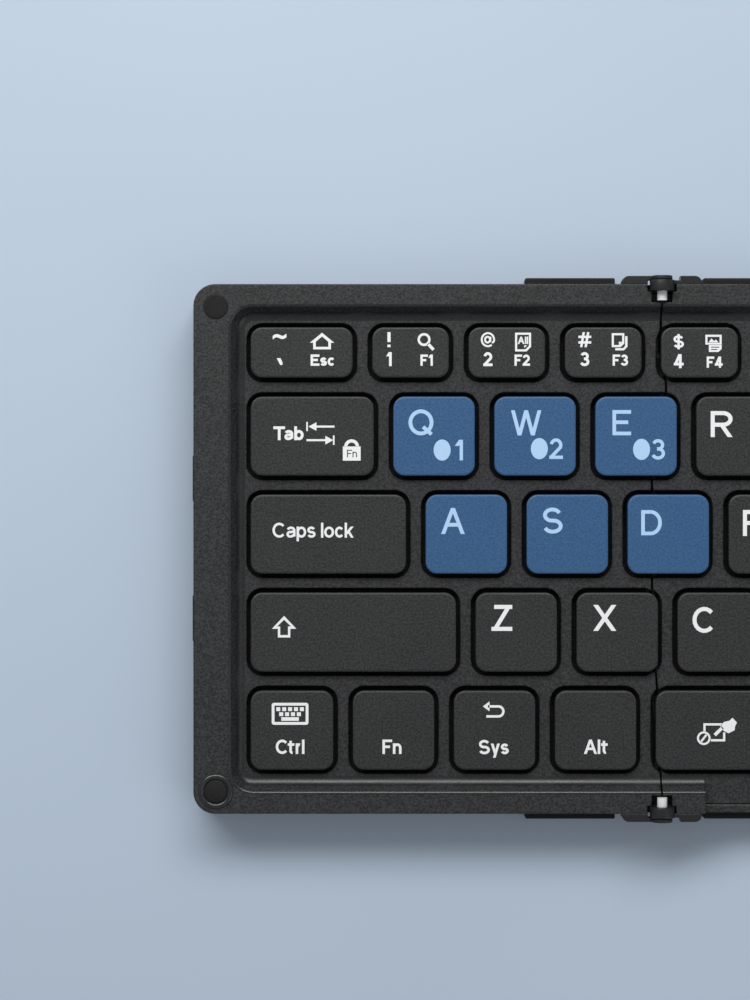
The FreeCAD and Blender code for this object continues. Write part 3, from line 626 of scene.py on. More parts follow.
floor_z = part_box("left_deck")[1].z
axis = abs(AXIS_X) * MM
PROFILES = {"cove": (cove_profile(), tray_skin), "bead": (bead_profile(), casing_edge)}
for leaf, way in (("left", 1), ("right", -1)):
    for kind, (profile, skin) in PROFILES.items():
        bm = sweep([side_tray_line(u, floor_z + z, -axis - FOLD_GAP, way) for u, z in profile])
        name = f"{leaf}_tray_{kind}"
        new_piece(name, mesh_from(bm, name), f"{leaf}_frame", skin)
CENTRE_RUNS = {
    "rear": (-axis + FOLD_GAP, axis - FOLD_GAP, 1),
    "front_left": (-axis + FOLD_GAP, -axis + FRONT_STEP, -1),
    "front_right": (axis - FRONT_STEP, axis - FOLD_GAP, -1),
}
for place, (left, right, end) in CENTRE_RUNS.items():
    for kind, (profile, skin) in PROFILES.items():
        bm = sweep([along_x(u, floor_z + z, left, right, end) for u, z in profile])
        name = f"centre_tray_{kind}_{place}"
        new_piece(name, mesh_from(bm, name), "centre_frame", skin)


# Bumpers: a flat disc at the rear corner and a crowned one in a raised ring at the front corner
def lathe(bm, middle, outline, steps=48):
    """A solid of revolution round an upright axis, from an outline of radii and heights."""
    turns = [2 * math.pi * n / steps for n in range(steps)]
    rings = []
    for radius, z in outline:
        if radius == 0:
            rings.append([bm.verts.new((middle.x, middle.y, z))] * steps)
            continue
        rings.append([
            bm.verts.new((middle.x + radius * math.cos(t), middle.y + radius * math.sin(t), z))
            for t in turns])
    for ring, ahead in zip(rings, rings[1:]):
        for n in range(steps):
            corners = [ring[n], ring[n - 1], ahead[n - 1], ahead[n]]
            bm.faces.new(list(dict.fromkeys(corners))).smooth = True


def crowned(radius, low, high, roll, crown, steps=5):
    """Half the section of a disc with a rolled edge and a crown."""
    outline = [(0, low), (radius, low)]
    inner = radius - roll
    for step in range(steps + 1):
        turn = math.pi / 2 * step / steps
        outline.append((inner + roll * math.cos(turn), high - crown - roll * (1 - math.sin(turn))))
    outline += [(inner * share, high - crown * share ** 2) for share in (0.75, 0.5, 0.25)]
    return outline + [(0, high)]


REAR_HEIGHT = 0.2 * MM
REAR_ROLL = 0.1 * MM
FRONT_DISC = 1.95 * MM
FRONT_ROLL = 0.2 * MM
FRONT_CROWN = 0.2 * MM
RING_INNER = 2.05 * MM
RING_OUTER = 3.0 * MM
RING_HEIGHT = 0.36 * MM
RING_STEPS = 10
BUMPER_CREASE = 50
for leaf in ("left", "right"):
    node = f"{leaf}_bumpers"
    stops = bmesh.new()
    ring = bmesh.new()
    for low, high in islands(node):
        middle, radius = (low + high) / 2, (high.x - low.x) / 2
        if middle.y > 0:
            lathe(stops, middle, crowned(radius, low.z, low.z + REAR_HEIGHT, REAR_ROLL, 0.0))
            continue
        lathe(stops, middle, crowned(FRONT_DISC, low.z, high.z, FRONT_ROLL, FRONT_CROWN))
        half = (RING_OUTER - RING_INNER) / 2
        turns = [math.pi * n / RING_STEPS for n in range(RING_STEPS + 1)]
        section = [
            (RING_INNER + half + half * math.cos(t), low.z + RING_HEIGHT * math.sin(t))
            for t in turns]
        lathe(ring, middle, section + section[:1])
    for bm in (stops, ring):
        bmesh.ops.remove_doubles(bm, verts=bm.verts, dist=PLATE_WELD)
        bmesh.ops.recalc_face_normals(bm, faces=bm.faces)
        crease(bm, BUMPER_CREASE)
    mesh = mesh_from(stops, f"{leaf}_discs")
    discs = new_piece(f"{leaf}_bumper_discs", mesh, node, rubber)
    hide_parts(node)
    mesh = mesh_from(ring, f"{leaf}_ring")
    new_piece(f"{leaf}_bumper_ring", mesh, f"{leaf}_frame", casing_edge)


# Rubber sheets with a round dome under each key
SHEET = 0.4 * MM
# Half the section of a dome, as radii in millimetres and shares of its height
DOME = [(1.6, -0.03), (1.6, 0.05), (1.5, 0.12), (1.2, 0.6), (0.95, 0.9), (0.85, 0.98), (0.75, 1.0)]
press_of = {joint["child"]: joint for joint in behaviour["joints"]}
sheet_z = {}
for leaf in ("left", "centre"):
    node = f"{leaf}_dome_sheet"
    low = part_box(node)[0]
    sheet_z[f"{leaf}_leaf"] = low.z + SHEET
    bm = plate(f"sheet_{leaf}", outlines(node, min), low.z, low.z + SHEET, 0.0)
    mesh = mesh_from(bm, f"sheet_{leaf}")
    sheet = new_piece(f"{leaf}_rubber_sheet", mesh, node, dome)
    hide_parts(node)
for name in key_nodes:
    press = press_of[body_of[name]]
    base = sheet_z[press["parent"]]
    node = press["parent"].replace("_leaf", "_dome_sheet")
    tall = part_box(node)[1].z - base
    section = [(radius * MM, base + share * tall) for radius, share in DOME]
    section = [(0, section[0][1]), *section, (0, section[-1][1])]
    bm = bmesh.new()
    for low, high in islands(name):
        lathe(bm, (low + high) / 2, section)
    bmesh.ops.recalc_face_normals(bm, faces=bm.faces)
    domes = new_piece(f"dome_{name}", mesh_from(bm, f"domes_{name}"), node, dome)
    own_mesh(domes)


# Legends, printed as a thin layer on the caps. Places are in pixels of the photo.
INK = 0.02 * MM


def at_pixel(x, y):
    """The place on the keyboard, in metres, that the photo shows at a pixel."""
    across = AXIS_X + (x - FOLD_PIXEL[0]) / PIXELS_PER_MM
    return across * MM, (FOLD_PIXEL[1] - y) / PIXELS_PER_MM * MM


def to_pixel(x, y):
    """The pixel of a place in metres."""
    across = x / MM - AXIS_X
    return FOLD_PIXEL[0] + across * PIXELS_PER_MM, FOLD_PIXEL[1] - y / MM * PIXELS_PER_MM


def bow(x, y, across, up, start, end, steps=16):
    """Points of an oval arc, with angles in degrees from the right, towards the second axis."""
    turns = [math.radians(start + (end - start) * n / steps) for n in range(steps + 1)]
    return [(x + across * math.cos(t), y + up * math.sin(t)) for t in turns]


# Plain letters as lines and slanted bars in a box from 0 to 1, with its width over the height of
# capitals. A slanted bar is a tuple of its two ends, cut level. Points above ASCENT reach up to the
# capitals' height, and points below -DESCENT hang under the line.
ROUND = bow(0.5, 0.5, 0.5, 0.5, 90, 450, 32)
BOWL_P = [(0, 1), (0.58, 1), *bow(0.58, 0.735, 0.42, 0.265, 90, -90), (0, 0.47)]
CURVE_S = [*bow(0.49, 0.745, 0.44, 0.255, 22, 250), *bow(0.51, 0.255, 0.47, 0.255, 70, -160)]
ARCH = [(0, 0.5), *bow(0.5, 0.6, 0.5, 0.4, 175, 0), (1, 0)]
STEM = [(0, 0), (0, 1)]
TALL_STEM = [(0, 0), (0, 1.3)]
GLYPHS = {
    "A": (0.9, [((0, 0), (0.5, 1)), ((1, 0), (0.5, 1)), [(0.18, 0.33), (0.82, 0.33)]]),
    "B": (0.76, [STEM, [(0, 1), (0.55, 1), *bow(0.55, 0.765, 0.38, 0.235, 90, -90), (0, 0.53)],
                 [(0, 0.53), (0.6, 0.53), *bow(0.6, 0.265, 0.4, 0.265, 90, -90), (0, 0)]]),
    "C": (0.88, [bow(0.52, 0.5, 0.52, 0.5, 42, 318)]),
    "D": (0.82, [[(0, 0.5), (0, 1), (0.45, 1), *bow(0.45, 0.5, 0.55, 0.5, 90, -90),
                  (0, 0), (0, 0.5)]]),
    "E": (0.74, [[(1, 1), (0, 1), (0, 0), (1, 0)], [(0, 0.52), (0.93, 0.52)]]),
    "F": (0.67, [[(1, 1), (0, 1), (0, 0)], [(0, 0.5), (0.88, 0.5)]]),
    "G": (0.92, [[*bow(0.5, 0.5, 0.5, 0.5, 45, 325), (0.97, 0.47), (0.56, 0.47)]]),
    "H": (0.78, [STEM, [(1, 0), (1, 1)], [(0, 0.53), (1, 0.53)]]),
    "I": (0.14, [[(0.5, 0), (0.5, 1)]]),
    "J": (0.56, [[(1, 1), *bow(0.5, 0.28, 0.5, 0.28, 0, -170)]]),
    "K": (0.82, [STEM, ((0, 0.32), (1, 1)), ((0.95, 0), (0.34, 0.58))]),
    "L": (0.66, [[(0, 1), (0, 0), (1, 0)]]),
    "M": (0.92, [STEM, [(1, 0), (1, 1)], ((0.03, 1), (0.5, 0)), ((0.97, 1), (0.5, 0))]),
    "N": (0.78, [STEM, [(1, 0), (1, 1)], ((0, 1), (1, 0))]),
    "O": (0.96, [ROUND]),
    "P": (0.76, [STEM, BOWL_P]),
    "Q": (0.96, [ROUND, [(0.6, 0.3), (1.0, -0.04)]]),
    "R": (0.84, [STEM, BOWL_P, ((0.5, 0.47), (0.98, 0))]),
    "S": (0.8, [CURVE_S]),
    "T": (0.8, [[(0, 1), (1, 1)], [(0.5, 1), (0.5, 0)]]),
    "U": (0.78, [[(0, 1), *bow(0.5, 0.32, 0.5, 0.32, 180, 360), (1, 1)]]),
    "V": (0.88, [((0, 1), (0.5, 0)), ((1, 1), (0.5, 0))]),
    "W": (1.2, [((0, 1), (0.25, 0)), ((0.5, 1), (0.25, 0)),
                ((0.5, 1), (0.75, 0)), ((1, 1), (0.75, 0))]),
    "X": (0.86, [((0, 1), (1, 0)), ((0, 0), (1, 1))]),
    "Y": (0.88, [((0, 1), (0.5, 0.42)), ((1, 1), (0.5, 0.42)), [(0.5, 0), (0.5, 0.5)]]),
    "Z": (0.8, [[(0.04, 1), (1, 1)], [(0, 0), (1, 0)], ((0.03, 0), (0.97, 1))]),
    "0": (0.66, [ROUND]),
    "1": (0.38, [[(1, 0), (1, 1)], ((0, 0.7), (0.95, 1))]),
    "2": (0.66, [[*bow(0.49, 0.7, 0.46, 0.3, 168, -25), (0.02, 0.02)], [(0, 0), (1, 0)]]),
    "3": (0.66, [[*bow(0.46, 0.76, 0.44, 0.24, 160, -90), (0.36, 0.52)],
                 [(0.36, 0.53), *bow(0.46, 0.265, 0.52, 0.265, 90, -160)]]),
    "4": (0.7, [((0.02, 0.24), (0.66, 1)), [(0, 0.24), (1, 0.24)], [(0.72, 0), (0.72, 1)]]),
    "5": (0.66, [[(0.92, 1), (0.22, 1), (0.1, 0.5), *bow(0.48, 0.34, 0.5, 0.34, 130, -160)]]),
    "6": (0.66, [bow(0.5, 0.32, 0.5, 0.32, 90, 450, 28), bow(0.6, 0.48, 0.6, 0.52, 190, 62)]),
    "7": (0.64, [[(0, 1), (1, 1)], ((0.96, 1), (0.34, 0))]),
    "8": (0.66, [bow(0.5, 0.755, 0.43, 0.245, 90, 450, 28),
                 bow(0.5, 0.26, 0.5, 0.26, 90, 450, 28)]),
    "9": (0.66, [bow(0.5, 0.68, 0.5, 0.32, 90, 450, 28), bow(0.4, 0.52, 0.6, 0.52, 10, -118)]),
    "a": (0.62, [[*bow(0.48, 0.68, 0.48, 0.32, 158, 0), (0.96, 0.1), (1, 0)],
                 [(0.96, 0.58), (0.4, 0.5), *bow(0.38, 0.26, 0.38, 0.26, 90, 270),
                  (0.62, 0.03), (0.96, 0.24)]]),
    "b": (0.64, [TALL_STEM, ROUND]),
    "c": (0.6, [bow(0.52, 0.5, 0.52, 0.5, 40, 320)]),
    "e": (0.64, [[(0.02, 0.53), (0.98, 0.53)], bow(0.5, 0.5, 0.5, 0.5, 0, 318)]),
    "f": (0.46, [[(0.42, 0), (0.42, 1.05), (0.5, 1.3), (1, 1.3)], [(0, 1), (0.95, 1)]]),
    "h": (0.6, [TALL_STEM, ARCH]),
    "i": (0.14, [[(0.5, 0), (0.5, 1)], [(0.5, 1.26), (0.5, 1.3)]]),
    "k": (0.6, [TALL_STEM, ((0, 0.3), (0.95, 1)), ((0.97, 0), (0.36, 0.6))]),
    "l": (0.14, [[(0.5, 0), (0.5, 1.3)]]),
    "n": (0.6, [STEM, ARCH]),
    "o": (0.66, [ROUND]),
    "p": (0.64, [[(0, -0.3), (0, 1)], ROUND]),
    "r": (0.38, [STEM, [(0, 0.5), *bow(0.85, 0.52, 0.85, 0.48, 175, 78)]]),
    "s": (0.58, [CURVE_S]),
    "t": (0.46, [[(0.4, 1.28), *bow(0.84, 0.24, 0.44, 0.24, 180, 275)], [(0, 1), (1, 1)]]),
    "y": (0.62, [((0, 1), (0.52, 0)), ((1, 1), (0.34, -0.3))]),
    "!": (0.18, [[(0.5, 0.3), (0.5, 1)], [(0.5, 0), (0.5, 0.08)]]),
    "@": (0.95, [[*bow(0.5, 0.5, 0.5, 0.5, 308, 0, 24), *bow(0.87, 0.46, 0.13, 0.17, 0, -110, 6)],
                 bow(0.47, 0.5, 0.2, 0.22, 90, 450, 24), [(0.7, 0.72), (0.7, 0.32)]]),
    "#": (0.86, [((0.16, 0), (0.4, 1)), ((0.58, 0), (0.82, 1)),
                 [(0, 0.28), (1, 0.28)], [(0, 0.72), (1, 0.72)]]),
    "$": (0.74, [[(x, 0.1 + 0.8 * y) for x, y in CURVE_S], [(0.5, -0.1), (0.5, 1.1)]]),
}
LETTER_GAP = 0.055
WORD_GAP = 0.3
CLOSER = {"Ta": 0.1, "Ct": 0.1, "tr": -0.04}
SMALL = 0.74
ASCENT = 1.2
DOT_FOOT = 1.27
DOT_BASE = 0.86
DESCENT = 0.2
HANG = 0.24
UPRIGHT_ENDS = (-0.3, 0, 1, 1.28, 1.3)
MITRE = 0.4
CLOSED = 1e-6
NO_LENGTH = 1e-9
# Strokes of a letter lie this far above one another
LAYER = 0.03 * INK
# Of Blender's own font: the height of its capitals, and how its outlines spread with weight
CAPITAL = 0.73
FONT_WEIGHT = 0.12
FONT_SPREAD = 0.35
FONT_STEPS = 4


def sides_of(points, width):
    """Points to the left and right of a line of that width."""
    closed = (Vector(points[0]) - Vector(points[-1])).length < CLOSED
    if closed:
        points = points[:-1]
    left, right = [], []
    count = len(points)
    for n, (x, y) in enumerate(points):
        ends = [(points[n - 1], (x, y)), ((x, y), points[(n + 1) % count])]
        if not closed and n == 0:
            ends = ends[1:]
        elif not closed and n == count - 1:
            ends = ends[:1]
        ways = [Vector(end) - Vector(start) for start, end in ends]
        sides = [Vector((-w.y, w.x)).normalized() for w in ways if w.length > NO_LENGTH]
        side = sum(sides, Vector((0.0, 0.0))).normalized()
        side *= width / 2 / max(side.dot(sides[0]), MITRE)
        left.append((x + side.x, y + side.y))
        right.append((x - side.x, y - side.y))
    if closed:
        left.append(left[0])
        right.append(right[0])
    return left, right


def ribbon(bm, left, right, low, high):
    """A thin solid between two lines of points."""
    closed = left[0] == left[-1]
    count = len(left) - 1 if closed else len(left)
    rows = []
    for n in range(count):
        rows.append([bm.verts.new((*point, z)) for point, z in (
            (left[n], high), (right[n], high), (right[n], low), (left[n], low))])
    if closed:
        rows.append(rows[0])
    for row, ahead in zip(rows, rows[1:]):
        for n in range(4):
            bm.faces.new((row[n], row[n - 1], ahead[n - 1], ahead[n]))
    if not closed:
        bm.faces.new(rows[0])
        bm.faces.new(rows[-1][::-1])


def reach_out(end, before, point, half):
    """Lengthen a level or upright stroke that ends at the edge of its box."""
    x, y = point
    if end[0] == before[0] and end[1] in UPRIGHT_ENDS:
        return x, y + math.copysign(half, end[1] - before[1])
    if end[1] == before[1] and end[0] in (0, 1):
        return x + math.copysign(half, end[0] - before[0]), y
    return point


def glyph_parts(letter, weight, broad):
    """Pairs of lines that bound the strokes of a letter, one unit high, and its width."""
    wide, strokes = GLYPHS[letter]
    wide = max(wide * broad, weight)
    top = SMALL if letter.islower() else 1.0
    half = weight / 2

    def across(x):
        return half + x * (wide - weight)

    def up(y, inset):
        if y > ASCENT:
            return 1.0 - inset if y > DOT_FOOT else DOT_BASE
        if y < -DESCENT:
            return inset - HANG
        return inset + y * (top - 2 * inset)

    parts = []
    for line in strokes:
        if isinstance(line, list):
            points = [(across(x), up(y, half)) for x, y in line]
            if line[0] != line[-1]:
                points[0] = reach_out(line[0], line[1], points[0], half)
                points[-1] = reach_out(line[-1], line[-2], points[-1], half)
            parts.append(sides_of(points, weight))
        else:
            (x0, y0), (x1, y1) = [(across(x), up(y, 0.0)) for x, y in line]
            spread = half * math.hypot(x1 - x0, y1 - y0) / abs(y1 - y0)
            parts.append([[(x0 + side, y0), (x1 + side, y1)] for side in (-spread, spread)])
    return parts, wide


def lettering(text, unit, weight, broad):
    """Words in plain letters, from strokes that lie a hair above one another."""
    bm = bmesh.new()
    start = 0.0
    for place, letter in enumerate(text):
        if letter == " ":
            start += WORD_GAP
            continue
        parts, wide = glyph_parts(letter, weight, broad)
        for n, lines in enumerate(parts):
            left, right = [[((x + start) * unit, y * unit) for x, y in line] for line in lines]
            ribbon(bm, left, right, -INK / 2, INK / 2 + n * LAYER)
        start += wide + LETTER_GAP - CLOSER.get(text[place:place + 2], 0.0)
    bmesh.ops.recalc_face_normals(bm, faces=bm.faces)
    return bm


def words(text, x, y, tall, weight, align="middle", broad=1.0):
    """Text whose capitals are tall pixels high, around a pixel or starting from it."""
    unit = tall / PIXELS_PER_MM * MM
    if all(letter in GLYPHS or letter == " " for letter in text):
        bm = lettering(text, unit, weight, broad)
    else:
        data = bpy.data.curves.new("words", "FONT")
        data.body = text
        data.size = unit / CAPITAL
        data.offset = (weight - FONT_WEIGHT) * FONT_SPREAD * data.size
        data.extrude = INK / 2
        data.resolution_u = FONT_STEPS
        bm = solid_of(data)
    low = [min(v.co[i] for v in bm.verts) for i in range(2)]
    high = [max(v.co[i] for v in bm.verts) for i in range(2)]
    left = low[0] if align == "left" else (low[0] + high[0]) / 2
    place_x, place_y = at_pixel(x, y)
    move = (place_x - left, place_y - (low[1] + high[1]) / 2, 0)
    bmesh.ops.translate(bm, verts=bm.verts, vec=move)
    return bm


def shape(x, y, *loops):
    """A filled figure of outlines, given in pixels around a pixel."""
    places = [[at_pixel(x + u, y + v) for u, v in loop] for loop in loops]
    return plate("figure", places, -INK / 2, INK / 2, 0.0)


def stroke(points, width):
    """The outline of an open line of that width."""
    left, right = sides_of(points, width)
    return left + right[::-1]


def arc(x, y, radius, start, end, steps=14):
    return bow(x, y, radius, radius, start, end, steps)


def circle(x, y, radius, steps=28):
    return arc(x, y, radius, 0, 360 * (1 - 1 / steps), steps - 1)


def block(left, top, right, bottom):
    return [(left, top), (right, top), (right, bottom), (left, bottom)]


def house(x, y):
    outer = [(0, -8.4), (12.2, 1.6), (8.9, 1.6), (8.9, 8.2), (-8.9, 8.2), (-8.9, 1.6), (-12.2, 1.6)]
    inner = [(0, -4.7), (6.3, 0.6), (6.3, 5.7), (-6.3, 5.7), (-6.3, 0.6)]
    return [shape(x, y, outer, inner)]


def magnifier(x, y):
    lens = shape(x, y, circle(-0.1, -1.8, 6.5), circle(-0.1, -1.8, 4.1))
    return [lens, shape(x, y, stroke([(3.8, 2.4), (9.4, 8.4)], 3.0))]


def page(x, y):
    outer = [(-8, -8.7), (8, -8.7), (8, 5.4), (3.4, 10.1), (-8, 10.1)]
    inner = [(-5.9, -6.6), (5.9, -6.6), (5.9, 4.4), (2.5, 8.0), (-5.9, 8.0)]
    fold = [(1.2, 6.6), (1.2, 4.0), (4.0, 4.0)]
    return [shape(x, y, outer, inner), shape(x, y, fold), words("All", x - 0.1, y - 1.0, 7.4, 0.2)]


def copies(x, y):
    outer = [(-8.2, -8.2), (4.3, -8.2), (4.3, 2.2), (0.6, 5.8), (-8.2, 5.8)]
    inner = [(-6.1, -6.1), (2.2, -6.1), (2.2, 0.4), (-1.1, 3.7), (-6.1, 3.7)]
    fold = [(-1.1, 3.4), (-1.1, 0.4), (1.9, 0.4)]
    behind = [(5.2, -5.2), (7.5, -5.2), (7.5, 5.4), (3.9, 9.0),
              (-4.7, 9.0), (-4.7, 6.8), (3.0, 6.8), (5.2, 4.6)]
    return [shape(x, y, outer, inner), shape(x, y, fold), shape(x, y, behind)]


def picture(x, y):
    border = shape(x, y, block(-8.5, -8.6, 7.8, 1.2), block(-6.4, -6.5, 5.7, -0.6))
    hill = shape(x, y, [(-5.2, -1.0), (-2.4, -5.0), (0.2, -2.2), (2.2, -3.8), (4.6, -1.0)])
    sheet = [(-5.0, 1.6), (7.8, 1.6), (7.8, 5.6), (4.6, 8.6), (-5.0, 8.6)]
    lines = [block(-2.8, 3.4, 5.4, 4.3), block(-2.8, 5.7, 3.4, 6.6)]
    return [border, hill, shape(x, y, sheet, *lines)]


def tab_arrows(x, y):
    upper = [(-11.6, -6.5), (-3.6, -10.8), (-3.6, -7.5), (14.4, -7.5),
             (14.4, -5.5), (-3.6, -5.5), (-3.6, -2.3)]
    lower = [(13.2, 7.1), (5.3, 2.8), (5.3, 6.1), (-13.6, 6.1),
             (-13.6, 8.1), (5.3, 8.1), (5.3, 11.4)]
    stops = [block(-13.8, -11.2, -12.2, -2.0), block(12.9, 2.4, 14.5, 11.8)]
    return [shape(x, y, loop) for loop in (upper, lower, *stops)]


def lock(x, y):
    shackle = arc(0.6, -3.4, 7.4, 180, 360) + arc(0.6, -3.4, 4.2, 360, 180)
    return [shape(x, y, block(-8.2, -3.6, 9.6, 10.6)), shape(x, y, shackle)]


def shift_arrow(x, y):
    outer = [(0, -11.0), (12.2, 1.9), (6.2, 1.9), (6.2, 10.6),
             (-6.2, 10.6), (-6.2, 1.9), (-12.2, 1.9)]
    inner = [(0, -7.2), (7.0, -0.4), (3.9, -0.4), (3.9, 8.2),
             (-3.9, 8.2), (-3.9, -0.4), (-7.0, -0.4)]
    return [shape(x, y, outer, inner)]


def small_keyboard(x, y):
    border = rounded_loop(Vector((-18.4, -11)), Vector((18.4, 11)), 2.4)
    parts = [shape(x, y, border, block(-15.6, -8.2, 15.6, 8.2))]
    parts += [shape(x, y, block(5.9 * n - 2, -6.6, 5.9 * n + 2, -2.7)) for n in range(-2, 3)]
    parts += [shape(x, y, block(5.9 * n + 0.9, -1.5, 5.9 * n + 4.9, 2.3)) for n in range(-2, 2)]
    return parts + [shape(x, y, block(-8.8, 3.4, 8.8, 7.0))]


def return_arrow(x, y):
    line = [(-6, -4.4), (4.5, -4.4)] + arc(4.5, 0.6, 5.0, -75, 75) + [(4.5, 5.6), (-7.5, 5.6)]
    return [shape(x, y, stroke(line, 2.4)), shape(x, y, [(-11, -4.4), (-4.4, -9.4), (-4.4, 0.6)])]


def pad_off(x, y):
    hand = [(3.6, -5.9), (7.5, -9.9), (12.6, -11), (15.8, -14), (20.3, -9.3),
            (18.4, -5.5), (18, -1.7), (12, 1.5), (7.0, -1.0)]
    return [
        shape(x, y, stroke([(-12.2, -0.6), (-12.2, -7.4), (5.4, -7.4)], 2.2)),
        shape(x, y, stroke([(7.5, 0.6), (7.5, 8.5), (-5.8, 8.5)], 2.2)),
        shape(x, y, circle(-12.9, 6.4, 6.8), circle(-12.9, 6.4, 4.8)),
        shape(x, y, stroke([(-15.6, 9.9), (-10.2, 2.9)], 2.0)),
        shape(x, y, stroke([(-1.9, 3.3), (6.0, -4.4)], 3.2)),
        shape(x, y, hand),
    ]


# Heights in pixels and weights of the legends' sorts
LETTER = 26
WORD = 14.4
SIGN = 15.0
DIGIT = 14.0
FUNCTION = 11.2
CHANNEL = 20.6
LETTER_WEIGHT = 0.155
BLUE_WEIGHT = 0.145
WORD_WEIGHT = 0.175
SIGN_WEIGHT = 0.155
SIGN_WEIGHTS = {"!": 0.21, "@": 0.125}
DIGIT_WEIGHT = 0.19
FUNCTION_WEIGHT = 0.2
CHANNEL_WEIGHT = 0.16
# Places of a number key's other marks from its digit, and of a connection's digit from its oval
SIGN_RISE = 19.5
FUNCTION_DROP = 1
FIGURE_PLACE = (35.2, -17.8)
CHANNEL_ASIDE = 16.8
CHANNEL_OVAL = bow(0, 0, 8.5, 10.6, 0, 350, 35)


def number_legend(sign, digit, function, x, y, figure=None, aside=36.0):
    """The marks of a number key from the place of its digit."""
    parts = [
        words(sign, x, y - SIGN_RISE, SIGN, SIGN_WEIGHTS.get(sign, SIGN_WEIGHT)),
        words(digit, x, y, DIGIT, DIGIT_WEIGHT),
        words(function, x + aside, y + FUNCTION_DROP, FUNCTION, FUNCTION_WEIGHT),
    ]
    return parts + (figure(x + FIGURE_PLACE[0], y + FIGURE_PLACE[1]) if figure else [])


def channel(digit, x, y):
    """A plain oval with the number of a connection."""
    return [shape(x, y, CHANNEL_OVAL), words(digit, x + CHANNEL_ASIDE, y, CHANNEL, CHANNEL_WEIGHT)]


def white_letter(text, x, y):
    return [words(text, x, y, LETTER, LETTER_WEIGHT)]


def blue_letter(text, x, y, tall=LETTER):
    return [words(text, x, y, tall, BLUE_WEIGHT)]


def word(text, x, y):
    return [words(text, x, y, WORD, WORD_WEIGHT)]


# A wedge for the plain accent on the first key, in pixels around its middle
GRAVE = [(-2.9, -3.5), (0.9, -3.5), (3.1, 1.5), (2.7, 3.3), (0.6, 3.3)]

marks = {
    "escape_key": [
        words("~", 279.5, 336.4, 17, 0.2), shape(279.5, 361.5, GRAVE),
        *house(322, 341), words("Esc", 322.3, 360, 11.3, 0.21, broad=1.06)],
    "one_key": number_legend("!", "1", "F1", 389, 359, magnifier, 37.7),
    "two_key": number_legend("@", "2", "F2", 488, 359, page, 34.4),
    "three_key": number_legend("#", "3", "F3", 585, 359, copies, 35.6),
    "four_key": number_legend("$", "4", "F4", 679, 361, picture),
    "tab_key": [
        words("Tab", 288.4, 433.2, 13.8, 0.2, broad=1.06), *tab_arrows(320, 433), *lock(351, 450)],
    "q_key": blue_letter("Q", 421, 422.5) + channel("1", 442.2, 450),
    "w_key": blue_letter("W", 526.3, 422.8, 25.2) + channel("2", 539.5, 448.6),
    "e_key": blue_letter("E", 622, 422.6, 25.2) + channel("3", 641.8, 449.3),
    "r_key": white_letter("R", 722, 424),
    "caps_key": [words("Caps lock", 313, 532, 15.0, LETTER_WEIGHT)],
    "a_key": blue_letter("A", 453, 521),
    "s_key": blue_letter("S", 553, 520.6),
    "d_key": blue_letter("D", 651.8, 522.7, 25.2),
    "f_key": white_letter("F", 752, 523),
    "left_shift_key": shift_arrow(284, 627),
    "z_key": white_letter("Z", 502, 618),
    "x_key": white_letter("X", 605, 618),
    "c_key": white_letter("C", 703, 620),
    "control_key": small_keyboard(290, 714) + word("Ctrl", 290, 747),
    "function_key": word("Fn", 392, 747),
    "system_key": return_arrow(494, 711) + word("Sys", 494, 749),
    "alternate_key": word("Alt", 596, 747),
    "space_key": pad_off(717, 732),
}

# Keys that the photo doesn't show are marked in the same manner
ROW_LEGENDS = {
    "number_row_keys": [
        ("%", "5", "F5"), ("^", "6", "F6"), ("&", "7", "F7"), ("*", "8", "F8"), ("(", "9", "F9"),
        (")", "0", "F10"), ("_", "-", "F11"), "Backspace"],
    "upper_row_keys": ["T", "Y", "U", "I", "O", "P", "[", "\\"],
    "home_row_keys": ["G", "H", "J", "K", "L", ";", "Enter"],
    "lower_row_keys": ["V", "B", "N", "M", ",", ".", "/", "Shift"],
    "bottom_row_keys": ["Alt", "left", "down", "right"],
}
# Places of a number key's digit and of a letter from the upper left corner of the cap
DIGIT_PLACE = (20, 32)
LETTER_PLACE = (16, 26)
ARROW = [(-9, 0), (0, -8), (0, -1.3), (9, -1.3), (9, 1.3), (0, 1.3), (0, 8)]
ARROWS = {
    "left": ARROW,
    "right": [(-u, v) for u, v in ARROW],
    "down": [(v, -u) for u, v in ARROW],
}


def legend_on(box, text):
    """Marks of a key that the photo doesn't show, from the box of its cap."""
    low, high = box
    left, top = to_pixel(low.x, high.y)
    middle_x, middle_y = to_pixel((low.x + high.x) / 2, (low.y + high.y) / 2)
    if isinstance(text, tuple):
        return number_legend(*text, left + DIGIT_PLACE[0], top + DIGIT_PLACE[1])
    if text in ARROWS:
        return [shape(middle_x, middle_y, ARROWS[text])]
    if len(text) == 1:
        place = (left + LETTER_PLACE[0], top + LETTER_PLACE[1])
        return [words(text, *place, LETTER, LETTER_WEIGHT, "left")]
    return word(text, middle_x, middle_y)


for name, texts in ROW_LEGENDS.items():
    marks[name] = [mark for box, text in zip(islands(name), texts) for mark in legend_on(box, text)]


def print_legend(name, node, parts, ink, lift):
    """Join marks into one layer on a key's top."""
    mesh = bpy.data.meshes.new(name)
    whole = bmesh.new()
    for part in parts:
        part.to_mesh(mesh)
        part.free()
        whole.from_mesh(mesh)
    bmesh.ops.translate(whole, verts=whole.verts, vec=(0, 0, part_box(node)[1].z + lift))
    bmesh.ops.remove_doubles(whole, verts=whole.verts, dist=INK_WELD)
    whole.to_mesh(mesh)
    whole.free()
    new_piece(name, mesh, node, ink)


INK_LIFT = 0.25 * INK
LOCK_LIFT = 0.75 * INK
for node, parts in marks.items():
    ink = ink_blue if slot_of[node] == "cap_blue" else ink_white
    print_legend(f"legend_{node}", node, parts, ink, INK_LIFT)
lock_word = [words("Fn", 352, 453.5, 7.6, 0.13)]
print_legend("legend_in_lock", "tab_key", lock_word, ink_dark, LOCK_LIFT)


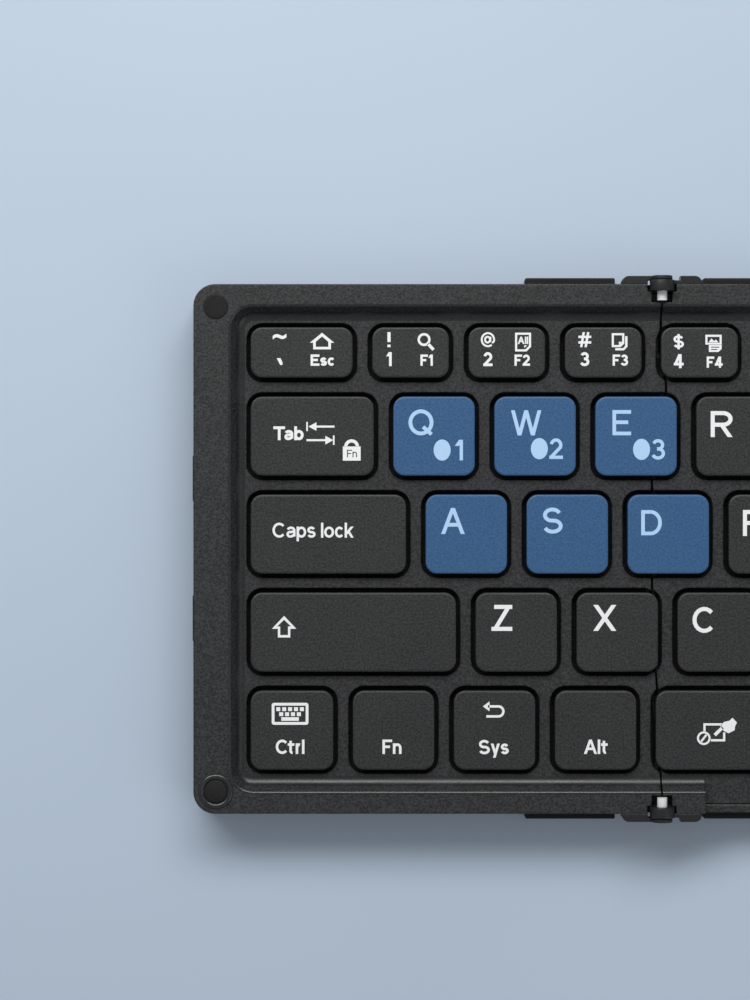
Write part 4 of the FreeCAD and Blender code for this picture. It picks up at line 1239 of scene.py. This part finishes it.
# Camera, straight above as in the photo, with the photo's scale at the height of the rim
RIM_TOP = 9.2 * MM
LENS = 110.0
SENSOR = 36.0
CLIP = (0.01, 20.0)
camera_data = bpy.data.cameras.new("camera")
camera = new_object("camera", camera_data)
camera_data.lens = LENS
camera_data.sensor_width = SENSOR
camera_data.clip_start, camera_data.clip_end = CLIP
height = PHOTO[1] / PIXELS_PER_MM * MM * LENS / SENSOR
camera.location = (*at_pixel(PHOTO[0] / 2, PHOTO[1] / 2), height + RIM_TOP)
bpy.context.scene.camera = camera


# Floor and light
FLOOR_REACH = 3.0
FLOOR_GRAIN = 6.0
FLOOR_TONES = ((0.50, 0.60, 0.72), (0.54, 0.64, 0.76))
FLOOR_ROUGH = 0.9
SKY = (0.95, 0.97, 1.0, 1.0)
SKY_LIGHT = 0.3
floor_mesh = bpy.data.meshes.new("floor")
corners = [(x * FLOOR_REACH, y * FLOOR_REACH, 0) for x, y in ((-1, -1), (1, -1), (1, 1), (-1, 1))]
floor_mesh.from_pydata(corners, [], [(0, 1, 2, 3)])
floor = new_object("floor", floor_mesh)
floor_paint, floor_tree, floor_shader = new_material("floor_pale")
paper = noise(floor_tree, FLOOR_GRAIN, 2.0)
wash = ramp(floor_tree, paper.outputs["Fac"], GLOSS_BAND, FLOOR_TONES)
floor_tree.links.new(wash.outputs["Color"], floor_shader.inputs["Base Color"])
floor_shader.inputs["Roughness"].default_value = FLOOR_ROUGH
paint(floor, floor_paint)


def lamp(name, place, aim, width, depth, power):
    """An oblong soft box that faces a point."""
    data = bpy.data.lights.new(name, "AREA")
    data.shape = "RECTANGLE"
    data.size = width
    data.size_y = depth
    data.energy = power
    light = new_object(name, data)
    light.location = place
    light.rotation_euler = (Vector(aim) - Vector(place)).to_track_quat("-Z", "Y").to_euler()


lamp("key_light", (-0.17, 0.38, 0.42), (-0.07, 0.0, 0.0), 0.7, 0.22, 2.9)
lamp("fill_light", (0.5, -0.35, 0.6), (0.05, 0.0, 0.0), 0.5, 0.5, 0.6)
world = bpy.data.worlds.new("studio")
bpy.context.scene.world = world
world.use_nodes = True
sky = world.node_tree.nodes["Background"]
sky.inputs["Color"].default_value = SKY
sky.inputs["Strength"].default_value = SKY_LIGHT
bpy.context.scene.view_settings.view_transform = "Standard"
